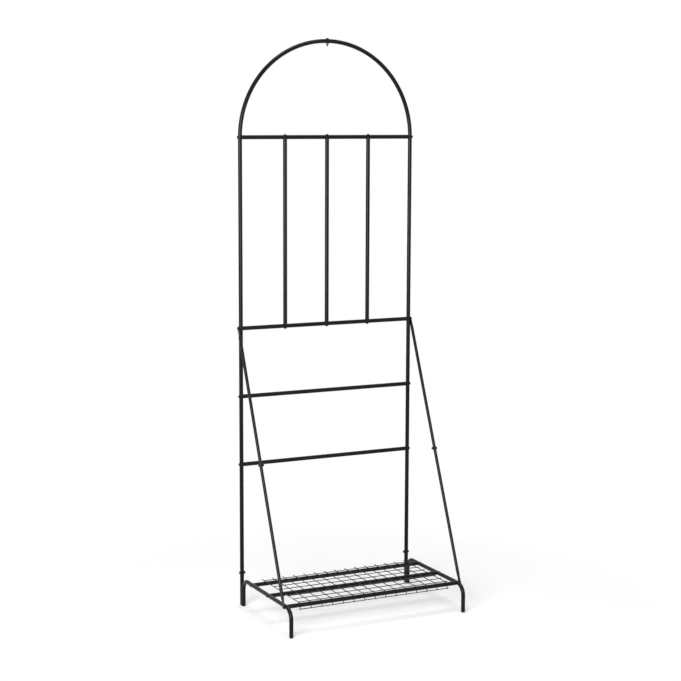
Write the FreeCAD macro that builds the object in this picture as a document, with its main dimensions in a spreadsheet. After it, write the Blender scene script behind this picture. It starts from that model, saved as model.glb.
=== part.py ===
"""Plant rack with a trellis back: two bolted tube posts with an arch, and a wire shelf on bent side frames.

The rack stands on the floor at z = 0, centred on the origin. +X is the rack's right, -Y its front.
"""

import FreeCAD, Part
import math
import os
import Sketcher
from FreeCAD import Vector

doc = FreeCAD.newDocument("PlantRack")

# Driving dimensions, in millimetres

SIZES = [
    ("post_spacing", 600, "between the axes of the two posts"),
    ("tube_diameter", 13, "outside of every main tube"),
    ("tube_wall", 1, "wall of every main tube"),
    ("arch_height", 1493.5, "axis of the top crossbar, where the arch springs"),
    ("trellis_foot_height", 897, "axis of the crossbar under the trellis bars"),
    ("upper_tie_height", 680, "axis of the upper plain crossbar"),
    ("lower_tie_height", 461, "axis of the lower plain crossbar"),
    ("shelf_height", 87, "axes of the shelf rails"),
    ("rear_rail_reach", 84, "rear shelf rail, in front of the posts"),
    ("front_rail_reach", 341, "front shelf rail, in front of the posts"),
    ("front_leg_reach", 377, "front legs, in front of the posts"),
    ("bend_radius", 34, "axis of the bends in a side frame"),
    ("weld_bite", 0.6, "how far two tubes welded side by side sink together"),
    ("socket_height", 118, "top of the socket that a post stands in"),
    ("socket_depth", 36, "how deep a post's foot sits in its socket"),
    ("socket_bolt_drop", 11, "socket bolt, below the socket's top"),
    ("post_lap", 20, "post joint, each way from the bolt through it"),
    ("crown_lap", 20, "arch joint, each way from the bolt through it"),
    ("spigot_play", 0.1, "radial play of a spigot in its tube"),
    ("spigot_wall", 1, "wall of a spigot"),
    ("neck_length", 4, "solid neck behind a spigot"),
    ("joint_gap", 0.2, "between a tube's end and what it butts against"),
    ("seat_gap", 0.05, "under a bolt head, a nut or a plug's flange"),
    ("bolt_diameter", 5, "shank of every bolt"),
    ("bolt_hole_play", 0.4, "added to the bolt's diameter in a drilled wall"),
    ("thread_play", 0.1, "added to the bolt's diameter in an insert or nut"),
    ("bolt_head_diameter", 9.5, "button head"),
    ("bolt_head_height", 2.8, "button head"),
    ("key_width", 3, "hexagon socket in a bolt head, across the flats"),
    ("key_depth", 1.5, "hexagon socket in a bolt head"),
    ("bolt_engagement", 13, "bolt beyond the tube it goes through, into an insert"),
    ("insert_length", 14, "threaded insert in a tube's end"),
    ("insert_play", 0.05, "radial play of an insert or plug in its tube"),
    ("nut_width", 8, "across the flats"),
    ("nut_height", 4, "hexagon nut"),
    ("nut_tail", 1.5, "thread showing past a nut"),
    ("crown_tail", 6, "thread showing past the nut under the arch"),
    ("plug_diameter", 11.6, "sole of a foot plug"),
    ("plug_height", 3, "sole of a foot plug, below the tube"),
    ("plug_stem_length", 16, "stem of a foot plug, inside the tube"),
    ("plug_edge", 0.8, "bevel round the sole"),
    ("wire_diameter", 2.5, "wires of the shelf mesh"),
    ("mesh_margin", 43, "outer cross wires, in from the posts' axes"),
    ("mesh_side_stub", 5, "lengthwise wires, past the outer cross wires"),
    ("mesh_tail", 24, "cross wires, behind the rear rail's axis"),
    ("lip_drop", 10, "lip wire, below the front rail's axis"),
    ("lip_stub", 3, "cross wires, below the lip wire's axis"),
    ("wire_seat", 0.05, "between the mesh and the rails it lies on"),
    ("weld_depth", 0.4, "how far two crossing wires sink together"),
    ("brace_diameter", 10, "diagonal brace tube"),
    ("brace_wall", 1, "diagonal brace tube"),
    ("flat_thickness", 2.6, "pressed end of a brace"),
    ("flat_width", 13, "pressed end of a brace"),
    ("flat_length", 16, "pressed end, from its hole to the taper"),
    ("taper_length", 16, "from the pressed end to the full tube"),
    ("brace_gap", 0.1, "between a pressed end and the tube it lies on"),
    ("brace_lap", 15, "brace joint, each way from the bolt through it"),
    ("cut_overrun", 2, "how far a cutting body runs past what it cuts"),
]

MESH_COLUMNS = 15
MESH_ROWS = 8

# A button head's outline, as shares of its radius and of its height
HEAD_SHARES = [(1, 0), (1, 0.3), (0.86, 0.72), (0.5, 1)]

sheet = doc.addObject("Spreadsheet::Sheet", "Sizes")
for row, (alias, number, meaning) in enumerate(SIZES, start=1):
    sheet.set(f"A{row}", alias)
    sheet.set(f"B{row}", str(number))
    sheet.set(f"C{row}", meaning)
    sheet.setAlias(f"B{row}", alias)
doc.recompute()


def angle_on_arch(length):
    """The angle that a length takes up near the crown of the arch."""
    return f"asin(2 * ({length}) / Sizes.post_spacing)"


# Lengths that several pieces share, worked out from the driving dimensions

HALF_SPACING = "(Sizes.post_spacing / 2)"
POST_Y = "Sizes.front_leg_reach / 2"
TUBE_RADIUS = "Sizes.tube_diameter / 2"
BORE_RADIUS = f"({TUBE_RADIUS} - Sizes.tube_wall)"
SPIGOT_RADIUS = f"({BORE_RADIUS} - Sizes.spigot_play)"
SPIGOT_BORE = f"({SPIGOT_RADIUS} - Sizes.spigot_wall)"
TRELLIS_PITCH = "(Sizes.post_spacing - Sizes.tube_diameter) / 4"
REAR_LEG_Y = f"({POST_Y} - Sizes.tube_diameter + Sizes.weld_bite)"
FRONT_LEG_Y = f"({POST_Y} - Sizes.front_leg_reach)"
SOCKET_BOLT_HEIGHT = "Sizes.socket_height - Sizes.socket_bolt_drop"
CROWN_HEIGHT = f"Sizes.arch_height + {HALF_SPACING}"
CROSSBAR_HEIGHTS = {
    "top": "Sizes.arch_height",
    "trellis": "Sizes.trellis_foot_height",
    "upper": "Sizes.upper_tie_height",
    "lower": "Sizes.lower_tie_height",
}
RAIL_YS = {
    "rear": f"{POST_Y} - Sizes.rear_rail_reach",
    "middle": f"{POST_Y} - (Sizes.rear_rail_reach + Sizes.front_rail_reach) / 2",
    "front": f"{POST_Y} - Sizes.front_rail_reach",
}
SIDES = {"left": -1, "right": 1}
TRELLIS_PLACES = {"left": -1, "centre": 0, "right": 1}

# Ways that a piece drawn along +Z can be turned

UP = "rotation(vector(0; 0; 1); 0)"
DOWN = "rotation(vector(1; 0; 0); 180)"
RIGHT = "rotation(vector(0; 1; 0); 90)"
LEFT = "rotation(vector(0; 1; 0); -90)"
FORWARD = "rotation(vector(1; 0; 0); 90)"
ABOUT_FACE = "rotation(vector(0; 0; 1); 180)"
QUARTER_TURN = "rotation(vector(0; 0; 1); 90)"
OUTWARD = {-1: LEFT, 1: RIGHT}
INWARD = {-1: RIGHT, 1: LEFT}

sub_parts = []


def place(item, at, turn=UP, back="0"):
    """Bind an object's place to the sheet; it may be drawn back along its own axis."""
    x, y, z = at
    spot = f"placement(vector({x}; {y}; {z}); {turn})"
    item.setExpression("Placement", f"{spot} * placement(vector(0; 0; -({back})); {UP})")
    return item


def rod(name, radius, length, at=("0", "0", "0"), turn=UP, back="0"):
    """A solid round bar from a point, along the turned Z axis."""
    bar = doc.addObject("Part::Cylinder", name)
    bar.setExpression("Radius", radius)
    bar.setExpression("Height", length)
    return place(bar, at, turn, back)


def long_rod(name, radius, length, at=("0", "0", "0"), turn=UP):
    """A rod for cutting, which runs past both ends of what it cuts."""
    return rod(name, radius, f"{length} + 2 * Sizes.cut_overrun", at, turn, "Sizes.cut_overrun")


def bolt_hole(name, at, turn):
    """A bolt's hole right through one tube, centred on the tube's axis."""
    radius = "(Sizes.bolt_diameter + Sizes.bolt_hole_play) / 2"
    reach = f"{TUBE_RADIUS} + Sizes.cut_overrun"
    return rod(name, radius, f"2 * ({reach})", at, turn, reach)


def saddle(name, at, turn):
    """What hollows the end of a tube that butts against the side of another, with the joint's gap."""
    reach = f"{TUBE_RADIUS} + Sizes.cut_overrun"
    return rod(name, f"{TUBE_RADIUS} + Sizes.joint_gap", f"2 * ({reach})", at, turn, reach)


def elbow(name, radius, bend, sweep, centre, turn):
    """A solid bent bar, swept about a centre from the turned X axis towards the turned Y axis."""
    bar = doc.addObject("Part::Torus", name)
    bar.setExpression("Radius1", bend)
    bar.setExpression("Radius2", radius)
    bar.setExpression("Angle3", sweep)
    return place(bar, centre, turn)


def joined(name, solids):
    """Several solids as one."""
    if len(solids) == 1:
        return solids[0]
    union = doc.addObject("Part::MultiFuse", name)
    union.Shapes = solids
    union.Refine = True
    return union


def piece(label, solids, cuts):
    """One sub-part: solids joined, then cut."""
    body = doc.addObject("Part::Cut", label)
    body.Label = label
    body.Base = joined(f"{label}_solid", solids)
    body.Tool = joined(f"{label}_cuts", cuts)
    body.Refine = True
    sub_parts.append(body)
    return body


def copies(label, master, places):
    """One sub-part made of like solids, each a placed copy of a master."""
    group = doc.addObject("Part::Compound", label)
    group.Label = label
    links = []
    for number, (at, turn) in enumerate(places, start=1):
        link = doc.addObject("App::Link", f"{label}_{number}")
        link.LinkedObject = master
        links.append(place(link, at, turn))
    group.Links = links
    sub_parts.append(group)
    return group


def new_body(name):
    """An empty part-design body."""
    body = doc.addObject("PartDesign::Body", name)
    body.Label = name
    return body


def origin_feature(body, role):
    """One of a body's own origin planes or axes."""
    return [feature for feature in body.Origin.OriginFeatures if feature.Role == role][0]


def new_sketch(body, name, role, offset="0"):
    """A sketch on one of a body's own origin planes, or lifted off it."""
    sketch = body.newObject("Sketcher::SketchObject", name)
    sketch.AttachmentSupport = [(origin_feature(body, role), "")]
    sketch.MapMode = "FlatFace"
    sketch.setExpression("AttachmentOffset.Base.z", offset)
    return sketch


def number_of(expression):
    """What an expression on the sheet comes to now."""
    return float(sheet.evalExpression(expression))


def dimension(sketch, kind, targets, expression):
    """A sketch dimension bound to the sheet."""
    index = sketch.addConstraint(Sketcher.Constraint(kind, *targets, number_of(expression)))
    sketch.setExpression(f"Constraints[{index}]", expression)


def pin(sketch, target, across, up):
    """Hold a sketch point at a distance across and up from the sketch's origin."""
    for kind, axis, expression in (("DistanceX", -2, across), ("DistanceY", -1, up)):
        now = number_of(expression)
        if abs(now) < 1e-9:
            sketch.addConstraint(Sketcher.Constraint("PointOnObject", *target, axis))
        elif now > 0:
            dimension(sketch, kind, (-1, 1, *target), expression)
        else:
            dimension(sketch, kind, (*target, -1, 1), f"-({expression})")


def circle(sketch, diameter, across="0", up="0"):
    """A sketch circle."""
    centre = Vector(number_of(across), number_of(up), 0)
    ring = Part.Circle(centre, Vector(0, 0, 1), number_of(diameter) / 2)
    index = sketch.addGeometry(ring, False)
    pin(sketch, (index, 3), across, up)
    dimension(sketch, "Diameter", (index,), diameter)


def closed_loop(sketch, corners):
    """Straight sketch edges from each corner to the next, and back to the first."""
    edges = []
    for number, corner in enumerate(corners):
        following = corners[(number + 1) % len(corners)]
        edges.append(sketch.addGeometry(Part.LineSegment(corner, following), False))
    for number, edge in enumerate(edges):
        sketch.addConstraint(Sketcher.Constraint("Coincident", edges[number - 1], 2, edge, 1))
    return edges


def hexagon(sketch, width):
    """A regular hexagon about the sketch's origin, given across its flats."""
    rim_diameter = f"{width} / cos(30)"
    reach = number_of(rim_diameter) / 2
    angles = [math.radians(60 * corner) for corner in range(6)]
    edges = closed_loop(sketch, [Vector(reach * math.cos(a), reach * math.sin(a), 0) for a in angles])
    rim = sketch.addGeometry(Part.Circle(Vector(0, 0, 0), Vector(0, 0, 1), reach), True)
    sketch.addConstraint(Sketcher.Constraint("Coincident", rim, 3, -1, 1))
    for edge in edges:
        sketch.addConstraint(Sketcher.Constraint("PointOnObject", edge, 1, rim))
    for edge in edges[1:]:
        sketch.addConstraint(Sketcher.Constraint("Equal", edges[0], edge))
    sketch.addConstraint(Sketcher.Constraint("PointOnObject", edges[0], 1, -1))
    dimension(sketch, "Diameter", (rim,), rim_diameter)


def pad(body, sketch, length, name):
    """A sketch thickened along its normal."""
    feature = body.newObject("PartDesign::Pad", name)
    feature.Profile = sketch
    feature.setExpression("Length", length)
    return feature


def turned(body, outline):
    """A closed outline of radii and heights, turned about the body's Z axis."""
    sketch = new_sketch(body, f"{body.Name}_outline", "XZ_Plane")
    corners = [Vector(number_of(radius), number_of(height), 0) for radius, height in outline]
    edges = closed_loop(sketch, corners)
    for edge, (radius, height) in zip(edges, outline):
        pin(sketch, (edge, 1), radius, height)
    feature = body.newObject("PartDesign::Revolution", f"{body.Name}_turned")
    feature.Profile = sketch
    feature.ReferenceAxis = (sketch, ["V_Axis"])
    feature.Angle = 360
    return feature


# Arch posts: each is one tube, straight up to the top crossbar and then a quarter of the arch;
# the right one ends in a spigot that the left one is pushed over

def arch_post(side):
    sign = SIDES[side]
    label = f"arch_post_{side}"
    x = f"{sign} * {HALF_SPACING}"
    foot = "(Sizes.trellis_foot_height - Sizes.post_lap + Sizes.joint_gap)"
    straight = f"Sizes.arch_height - {foot}"
    centre = ("0", POST_Y, "Sizes.arch_height")
    upright = FORWARD if sign > 0 else f"{ABOUT_FACE} * {FORWARD}"
    lap = angle_on_arch("Sizes.crown_lap")
    overrun = angle_on_arch("Sizes.cut_overrun")
    solids = [rod(f"{label}_tube", TUBE_RADIUS, straight, (x, POST_Y, foot))]
    cuts = [rod(f"{label}_bore", BORE_RADIUS, f"{straight} + Sizes.cut_overrun",
                (x, POST_Y, f"{foot} - Sizes.cut_overrun"))]
    if sign < 0:
        sweep = f"90 deg + {lap}"
        bore_sweep = f"{sweep} + {overrun}"
    else:
        sweep = "90 deg - " + angle_on_arch("Sizes.crown_lap + Sizes.joint_gap")
        neck = angle_on_arch("Sizes.crown_lap + Sizes.joint_gap + Sizes.neck_length")
        bore_sweep = f"90 deg - {neck}"
        spigot_turn = f"{upright} * rotation(vector(0; 0; 1); {bore_sweep})"
        spigot_sweep = f"{neck} + {lap}"
        long_sweep = f"{spigot_sweep} + {overrun}"
        spigot = f"{label}_spigot"
        solids.append(elbow(spigot, SPIGOT_RADIUS, HALF_SPACING, spigot_sweep, centre, spigot_turn))
        cuts.append(elbow(f"{spigot}_bore", SPIGOT_BORE, HALF_SPACING, long_sweep, centre, spigot_turn))
    solids.append(elbow(f"{label}_bend", TUBE_RADIUS, HALF_SPACING, sweep, centre, upright))
    cuts.append(elbow(f"{label}_bend_bore", BORE_RADIUS, HALF_SPACING, bore_sweep, centre, upright))
    for name in ("top", "trellis"):
        cuts.append(bolt_hole(f"{label}_hole_{name}", (x, POST_Y, CROSSBAR_HEIGHTS[name]), RIGHT))
    cuts.append(bolt_hole(f"{label}_hole_crown", ("0", POST_Y, CROWN_HEIGHT), UP))
    piece(label, solids, cuts)


for side in SIDES:
    arch_post(side)


# Lower posts: straight tubes with a spigot at each end, one into the socket and one into the arch post

def lower_post(side):
    label = f"lower_post_{side}"
    x = f"{SIDES[side]} * {HALF_SPACING}"
    foot = "(Sizes.socket_height + Sizes.joint_gap)"
    head = "(Sizes.trellis_foot_height - Sizes.post_lap)"
    spigot_foot = "(Sizes.socket_height - Sizes.socket_depth)"
    spigot_head = "(Sizes.trellis_foot_height + Sizes.post_lap)"
    spigots = f"{spigot_head} - {spigot_foot}"
    bore = f"{head} - {foot} - 2 * Sizes.neck_length"
    solids = [
        rod(f"{label}_tube", TUBE_RADIUS, f"{head} - {foot}", (x, POST_Y, foot)),
        rod(f"{label}_spigots", SPIGOT_RADIUS, spigots, (x, POST_Y, spigot_foot)),
    ]
    cuts = [
        rod(f"{label}_bore", BORE_RADIUS, bore, (x, POST_Y, f"{foot} + Sizes.neck_length")),
        long_rod(f"{label}_spigot_bore", SPIGOT_BORE, spigots, (x, POST_Y, spigot_foot)),
        bolt_hole(f"{label}_hole_socket", (x, POST_Y, SOCKET_BOLT_HEIGHT), RIGHT),
    ]
    for name in ("trellis", "upper", "lower"):
        cuts.append(bolt_hole(f"{label}_hole_{name}", (x, POST_Y, CROSSBAR_HEIGHTS[name]), RIGHT))
    piece(label, solids, cuts)


for side in SIDES:
    lower_post(side)


# Crossbars and shelf rails: tubes between the posts or between the side frames, with their ends
# hollowed to fit round them; the two that hold the trellis bars are drilled for their bolts

def level_tube(label, y, z, neighbour_turn, holes=()):
    start = (f"-{HALF_SPACING}", y, z)
    solids = [rod(f"{label}_tube", TUBE_RADIUS, "Sizes.post_spacing", start, RIGHT)]
    cuts = [long_rod(f"{label}_bore", BORE_RADIUS, "Sizes.post_spacing", start, RIGHT)]
    for side, sign in SIDES.items():
        end = (f"{sign} * {HALF_SPACING}", y, z)
        cuts.append(saddle(f"{label}_saddle_{side}", end, neighbour_turn))
    for name in holes:
        at = (f"{TRELLIS_PLACES[name]} * {TRELLIS_PITCH}", y, z)
        cuts.append(bolt_hole(f"{label}_hole_{name}", at, UP))
    piece(label, solids, cuts)


level_tube("top_crossbar", POST_Y, CROSSBAR_HEIGHTS["top"], UP, TRELLIS_PLACES)
level_tube("trellis_crossbar", POST_Y, CROSSBAR_HEIGHTS["trellis"], UP, TRELLIS_PLACES)
level_tube("upper_crossbar", POST_Y, CROSSBAR_HEIGHTS["upper"], UP)
level_tube("lower_crossbar", POST_Y, CROSSBAR_HEIGHTS["lower"], UP)
for rail, rail_y in RAIL_YS.items():
    level_tube(f"shelf_rail_{rail}", rail_y, "Sizes.shelf_height", FORWARD)


# Trellis bars: upright tubes between the two upper crossbars, hollowed at their ends to fit round them

def trellis_bar(name):
    label = f"trellis_bar_{name}"
    x = f"{TRELLIS_PLACES[name]} * {TRELLIS_PITCH}"
    foot = (x, POST_Y, "Sizes.trellis_foot_height")
    length = "(Sizes.arch_height - Sizes.trellis_foot_height)"
    tube = rod(f"{label}_tube", TUBE_RADIUS, length, foot)
    cuts = [long_rod(f"{label}_bore", BORE_RADIUS, length, foot)]
    for crossbar in ("top", "trellis"):
        end = (x, POST_Y, CROSSBAR_HEIGHTS[crossbar])
        cuts.append(saddle(f"{label}_saddle_{crossbar}", end, RIGHT))
    piece(label, [tube], cuts)


for name in TRELLIS_PLACES:
    trellis_bar(name)


# Side frames: an upside-down U of tube, with the post's socket welded behind its rear leg

def side_frame_run(name, x, radius, overrun):
    """The whole length of the U, and the socket, at one radius."""
    bend_z = "(Sizes.shelf_height - Sizes.bend_radius)"
    foot = f"(Sizes.plug_height - {overrun})"
    leg = f"{bend_z} - {foot}"
    socket = f"Sizes.socket_height + {overrun} - {foot}"
    rear_bend_y = f"({REAR_LEG_Y} - Sizes.bend_radius)"
    front_bend_y = f"({FRONT_LEG_Y} + Sizes.bend_radius)"
    rail = f"{rear_bend_y} - {front_bend_y}"
    rear_turn = "rotation(vector(1; 1; 1); 120)"
    front_turn = f"{ABOUT_FACE} * {rear_turn}"
    bend = "Sizes.bend_radius"
    return [
        rod(f"{name}_rear_leg", radius, leg, (x, REAR_LEG_Y, foot)),
        elbow(f"{name}_rear_bend", radius, bend, "90 deg", (x, rear_bend_y, bend_z), rear_turn),
        rod(f"{name}_rail", radius, rail, (x, rear_bend_y, "Sizes.shelf_height"), FORWARD),
        elbow(f"{name}_front_bend", radius, bend, "90 deg", (x, front_bend_y, bend_z), front_turn),
        rod(f"{name}_front_leg", radius, leg, (x, FRONT_LEG_Y, foot)),
        rod(f"{name}_socket", radius, socket, (x, POST_Y, foot)),
    ]


def side_frame(side):
    label = f"side_frame_{side}"
    x = f"{SIDES[side]} * {HALF_SPACING}"
    solids = side_frame_run(f"{label}_tube", x, TUBE_RADIUS, "0")
    cuts = side_frame_run(f"{label}_bore", x, BORE_RADIUS, "Sizes.cut_overrun")
    for rail, y in RAIL_YS.items():
        cuts.append(bolt_hole(f"{label}_hole_{rail}", (x, y, "Sizes.shelf_height"), RIGHT))
    cuts.append(bolt_hole(f"{label}_hole_socket", (x, POST_Y, SOCKET_BOLT_HEIGHT), RIGHT))
    piece(label, solids, cuts)


for side in SIDES:
    side_frame(side)


# Diagonal braces: each is two tubes with pressed ends, the lower one plugged into the upper one

BRACE_X = f"({HALF_SPACING} + {TUBE_RADIUS} + Sizes.brace_gap + Sizes.flat_thickness / 2)"
BRACE_RISE = "(Sizes.trellis_foot_height - Sizes.shelf_height)"
BRACE_LENGTH = f"hypot(Sizes.front_rail_reach; {BRACE_RISE})"
BRACE_LEAN = f"atan(Sizes.front_rail_reach / {BRACE_RISE})"
BRACE_RADIUS = "Sizes.brace_diameter / 2"
BRACE_BORE = f"({BRACE_RADIUS} - Sizes.brace_wall)"
TAB_END = "(Sizes.flat_length + Sizes.taper_length)"


def pressed_end(label):
    """The flat round-ended tab of a brace, and the taper from it to the tube."""
    tab = doc.addObject("Part::Box", f"{label}_tab")
    tab.setExpression("Length", "Sizes.flat_thickness")
    tab.setExpression("Width", "Sizes.flat_width")
    tab.setExpression("Height", "Sizes.flat_length")
    place(tab, ("-Sizes.flat_thickness / 2", "-Sizes.flat_width / 2", "0"))
    rounding_at = ("-Sizes.flat_thickness / 2", "0", "0")
    rounding = rod(f"{label}_rounding", "Sizes.flat_width / 2", "Sizes.flat_thickness", rounding_at, RIGHT)
    oval = doc.addObject("Part::Ellipse", f"{label}_oval")
    oval.setExpression("MajorRadius", "Sizes.flat_width / 2")
    oval.setExpression("MinorRadius", "Sizes.flat_thickness / 2")
    place(oval, ("0", "0", "Sizes.flat_length"), QUARTER_TURN)
    ring = doc.addObject("Part::Circle", f"{label}_ring")
    ring.setExpression("Radius", BRACE_RADIUS)
    place(ring, ("0", "0", TAB_END), QUARTER_TURN)
    taper = doc.addObject("Part::Loft", f"{label}_taper")
    taper.Sections = [oval, ring]
    taper.Solid = True
    taper.Ruled = True
    return [tab, rounding, taper]


def brace_half(label, tube_end, bore_end):
    """The solids and cuts of half a brace, drawn from the hole in its pressed end along +Z."""
    tube_at = ("0", "0", TAB_END)
    solids = pressed_end(label)
    solids.append(rod(f"{label}_tube", BRACE_RADIUS, f"{tube_end} - {TAB_END}", tube_at))
    cuts = [
        rod(f"{label}_bore", BRACE_BORE, f"{bore_end} - {TAB_END}", tube_at),
        bolt_hole(f"{label}_hole_end", ("0", "0", "0"), RIGHT),
        bolt_hole(f"{label}_hole_joint", ("0", "0", f"{BRACE_LENGTH} / 2"), RIGHT),
    ]
    return solids, cuts


def upper_brace(side, x):
    label = f"brace_upper_{side}"
    tube_end = f"({BRACE_LENGTH} / 2 + Sizes.brace_lap)"
    solids, cuts = brace_half(label, tube_end, f"{tube_end} + Sizes.cut_overrun")
    turn = f"rotation(vector(1; 0; 0); 180 deg - {BRACE_LEAN})"
    place(piece(label, solids, cuts), (x, POST_Y, "Sizes.trellis_foot_height"), turn)


def lower_brace(side, x):
    label = f"brace_lower_{side}"
    tube_end = f"({BRACE_LENGTH} / 2 - Sizes.brace_lap - Sizes.joint_gap)"
    bore_end = f"({tube_end} - Sizes.neck_length)"
    solids, cuts = brace_half(label, tube_end, bore_end)
    spigot_radius = f"({BRACE_BORE} - Sizes.spigot_play)"
    spigot_bore = f"({spigot_radius} - Sizes.spigot_wall)"
    spigot_at = ("0", "0", bore_end)
    spigot = f"{BRACE_LENGTH} / 2 + Sizes.brace_lap - {bore_end}"
    solids.append(rod(f"{label}_spigot", spigot_radius, spigot, spigot_at))
    cuts.append(long_rod(f"{label}_spigot_bore", spigot_bore, spigot, spigot_at))
    turn = f"rotation(vector(1; 0; 0); -{BRACE_LEAN})"
    place(piece(label, solids, cuts), (x, RAIL_YS["front"], "Sizes.shelf_height"), turn)


for side, sign in SIDES.items():
    upper_brace(side, f"{sign} * {BRACE_X}")
    lower_brace(side, f"{sign} * {BRACE_X}")


# Shelf mesh: crossing wires welded together, lying on the three rails and hooked down over the front one

HOOK_RADIUS = f"({TUBE_RADIUS} + Sizes.wire_seat + Sizes.wire_diameter / 2)"
WIRE_LIFT = "(Sizes.wire_diameter - Sizes.weld_depth)"
ROW_PITCH = f"(Sizes.front_rail_reach - Sizes.rear_rail_reach) / {MESH_ROWS - 1}"
MESH_SPAN = "(Sizes.post_spacing - 2 * Sizes.mesh_margin)"


def lengthwise_wires(mesh):
    """The wires along the shelf: one for each row, and the lip wire in front of the front rail."""
    length = f"({MESH_SPAN} + 2 * Sizes.mesh_side_stub)"
    ends = new_sketch(mesh, "lengthwise_ends", "YZ_Plane", f"-{length} / 2")
    level = f"Sizes.shelf_height + {HOOK_RADIUS} + {WIRE_LIFT}"
    for row in range(MESH_ROWS):
        circle(ends, "Sizes.wire_diameter", f"-(Sizes.rear_rail_reach + {row} * {ROW_PITCH})", level)
    lip_across = f"-(Sizes.front_rail_reach + {HOOK_RADIUS} + {WIRE_LIFT})"
    circle(ends, "Sizes.wire_diameter", lip_across, "Sizes.shelf_height - Sizes.lip_drop")
    pad(mesh, ends, length, "lengthwise_wires")


def cross_wire(mesh):
    """One wire from behind the rear rail to the lip, bent round the front rail."""
    tail = "(Sizes.rear_rail_reach - Sizes.mesh_tail)"
    lip_end = "Sizes.shelf_height - Sizes.lip_drop - Sizes.lip_stub"
    hook = number_of(HOOK_RADIUS)
    bend_centre = Vector(-number_of("Sizes.front_rail_reach"), number_of("Sizes.shelf_height"), 0)
    bend_start = bend_centre + Vector(0, hook, 0)
    bend_end = bend_centre - Vector(hook, 0, 0)
    path = new_sketch(mesh, "cross_wire_path", "YZ_Plane", f"-{MESH_SPAN} / 2")
    tail_end = Vector(-number_of(tail), bend_start.y, 0)
    flat = path.addGeometry(Part.LineSegment(tail_end, bend_start), False)
    bend_ring = Part.Circle(bend_centre, Vector(0, 0, 1), hook)
    bend = path.addGeometry(Part.ArcOfCircle(bend_ring, math.pi / 2, math.pi), False)
    drop_end = Vector(bend_end.x, number_of(lip_end), 0)
    drop = path.addGeometry(Part.LineSegment(bend_end, drop_end), False)
    path.addConstraint(Sketcher.Constraint("Coincident", flat, 2, bend, 1))
    path.addConstraint(Sketcher.Constraint("Coincident", bend, 2, drop, 1))
    path.addConstraint(Sketcher.Constraint("Horizontal", flat))
    path.addConstraint(Sketcher.Constraint("Vertical", drop))
    path.addConstraint(Sketcher.Constraint("Vertical", bend, 1, bend, 3))
    path.addConstraint(Sketcher.Constraint("Horizontal", bend, 2, bend, 3))
    pin(path, (bend, 3), "-Sizes.front_rail_reach", "Sizes.shelf_height")
    dimension(path, "Radius", (bend,), HOOK_RADIUS)
    dimension(path, "DistanceX", (flat, 1, -1, 1), tail)
    dimension(path, "DistanceY", (-1, 1, drop, 2), lip_end)
    section = new_sketch(mesh, "cross_wire_section", "XZ_Plane", tail)
    circle(section, "Sizes.wire_diameter", f"-{MESH_SPAN} / 2", f"Sizes.shelf_height + {HOOK_RADIUS}")
    wire = mesh.newObject("PartDesign::AdditivePipe", "cross_wire")
    wire.Profile = section
    wire.Spine = (path, ["Edge1", "Edge2", "Edge3"])
    return wire


shelf_mesh = new_body("shelf_mesh")
place(shelf_mesh, ("0", POST_Y, "0"))
lengthwise_wires(shelf_mesh)
first_cross_wire = cross_wire(shelf_mesh)
doc.recompute()
cross_wires = shelf_mesh.newObject("PartDesign::LinearPattern", "cross_wires")
cross_wires.Originals = [first_cross_wire]
cross_wires.Direction = (origin_feature(shelf_mesh, "X_Axis"), [""])
cross_wires.setExpression("Length", MESH_SPAN)
cross_wires.Occurrences = MESH_COLUMNS
shelf_mesh.Tip = cross_wires
sub_parts.append(shelf_mesh)


# Threaded inserts: steel slugs fixed in the open ends of the crossbars, rails and trellis bars,
# each flush with the deepest point of the hollowed end

insert = new_body("insert")
insert_outline = new_sketch(insert, "insert_outline", "XY_Plane")
circle(insert_outline, f"2 * ({BORE_RADIUS} - Sizes.insert_play)")
circle(insert_outline, "Sizes.bolt_diameter + Sizes.thread_play")
pad(insert, insert_outline, "Sizes.insert_length", "insert_pad")


def level_ends(y, z):
    """Where the inserts of a level tube start, with the turns that point into it."""
    reach = f"({HALF_SPACING} - {TUBE_RADIUS} - Sizes.joint_gap)"
    return [((f"{sign} * {reach}", y, z), INWARD[sign]) for sign in SIDES.values()]


crossbar_ends = []
for height in CROSSBAR_HEIGHTS.values():
    crossbar_ends += level_ends(POST_Y, height)
copies("crossbar_inserts", insert, crossbar_ends)

rail_ends = []
for rail_y in RAIL_YS.values():
    rail_ends += level_ends(rail_y, "Sizes.shelf_height")
copies("rail_inserts", insert, rail_ends)

trellis_ends = []
trellis_end_gap = f"({TUBE_RADIUS} + Sizes.joint_gap)"
for bar_place in TRELLIS_PLACES.values():
    bar_x = f"{bar_place} * {TRELLIS_PITCH}"
    trellis_ends.append(((bar_x, POST_Y, f"Sizes.arch_height - {trellis_end_gap}"), DOWN))
    trellis_ends.append(((bar_x, POST_Y, f"Sizes.trellis_foot_height + {trellis_end_gap}"), UP))
copies("trellis_inserts", insert, trellis_ends)


# Button-head bolts: the head sits above its own origin and the shank runs down its own Z axis

def bolt(name, shank):
    body = new_body(name)
    outline = [
        ("0", f"-({shank})"),
        ("Sizes.bolt_diameter / 2", f"-({shank})"),
        ("Sizes.bolt_diameter / 2", "0"),
    ]
    for radius_share, height_share in HEAD_SHARES:
        radius = f"{radius_share} * Sizes.bolt_head_diameter / 2"
        outline.append((radius, f"{height_share} * Sizes.bolt_head_height"))
    outline.append(("0", "Sizes.bolt_head_height"))
    turned(body, outline)
    doc.recompute()
    key = new_sketch(body, f"{name}_key", "XY_Plane", "Sizes.bolt_head_height")
    hexagon(key, "Sizes.key_width")
    socket = body.newObject("PartDesign::Pocket", f"{name}_socket")
    socket.Profile = key
    socket.setExpression("Length", "Sizes.key_depth")
    body.Tip = socket
    return body


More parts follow.
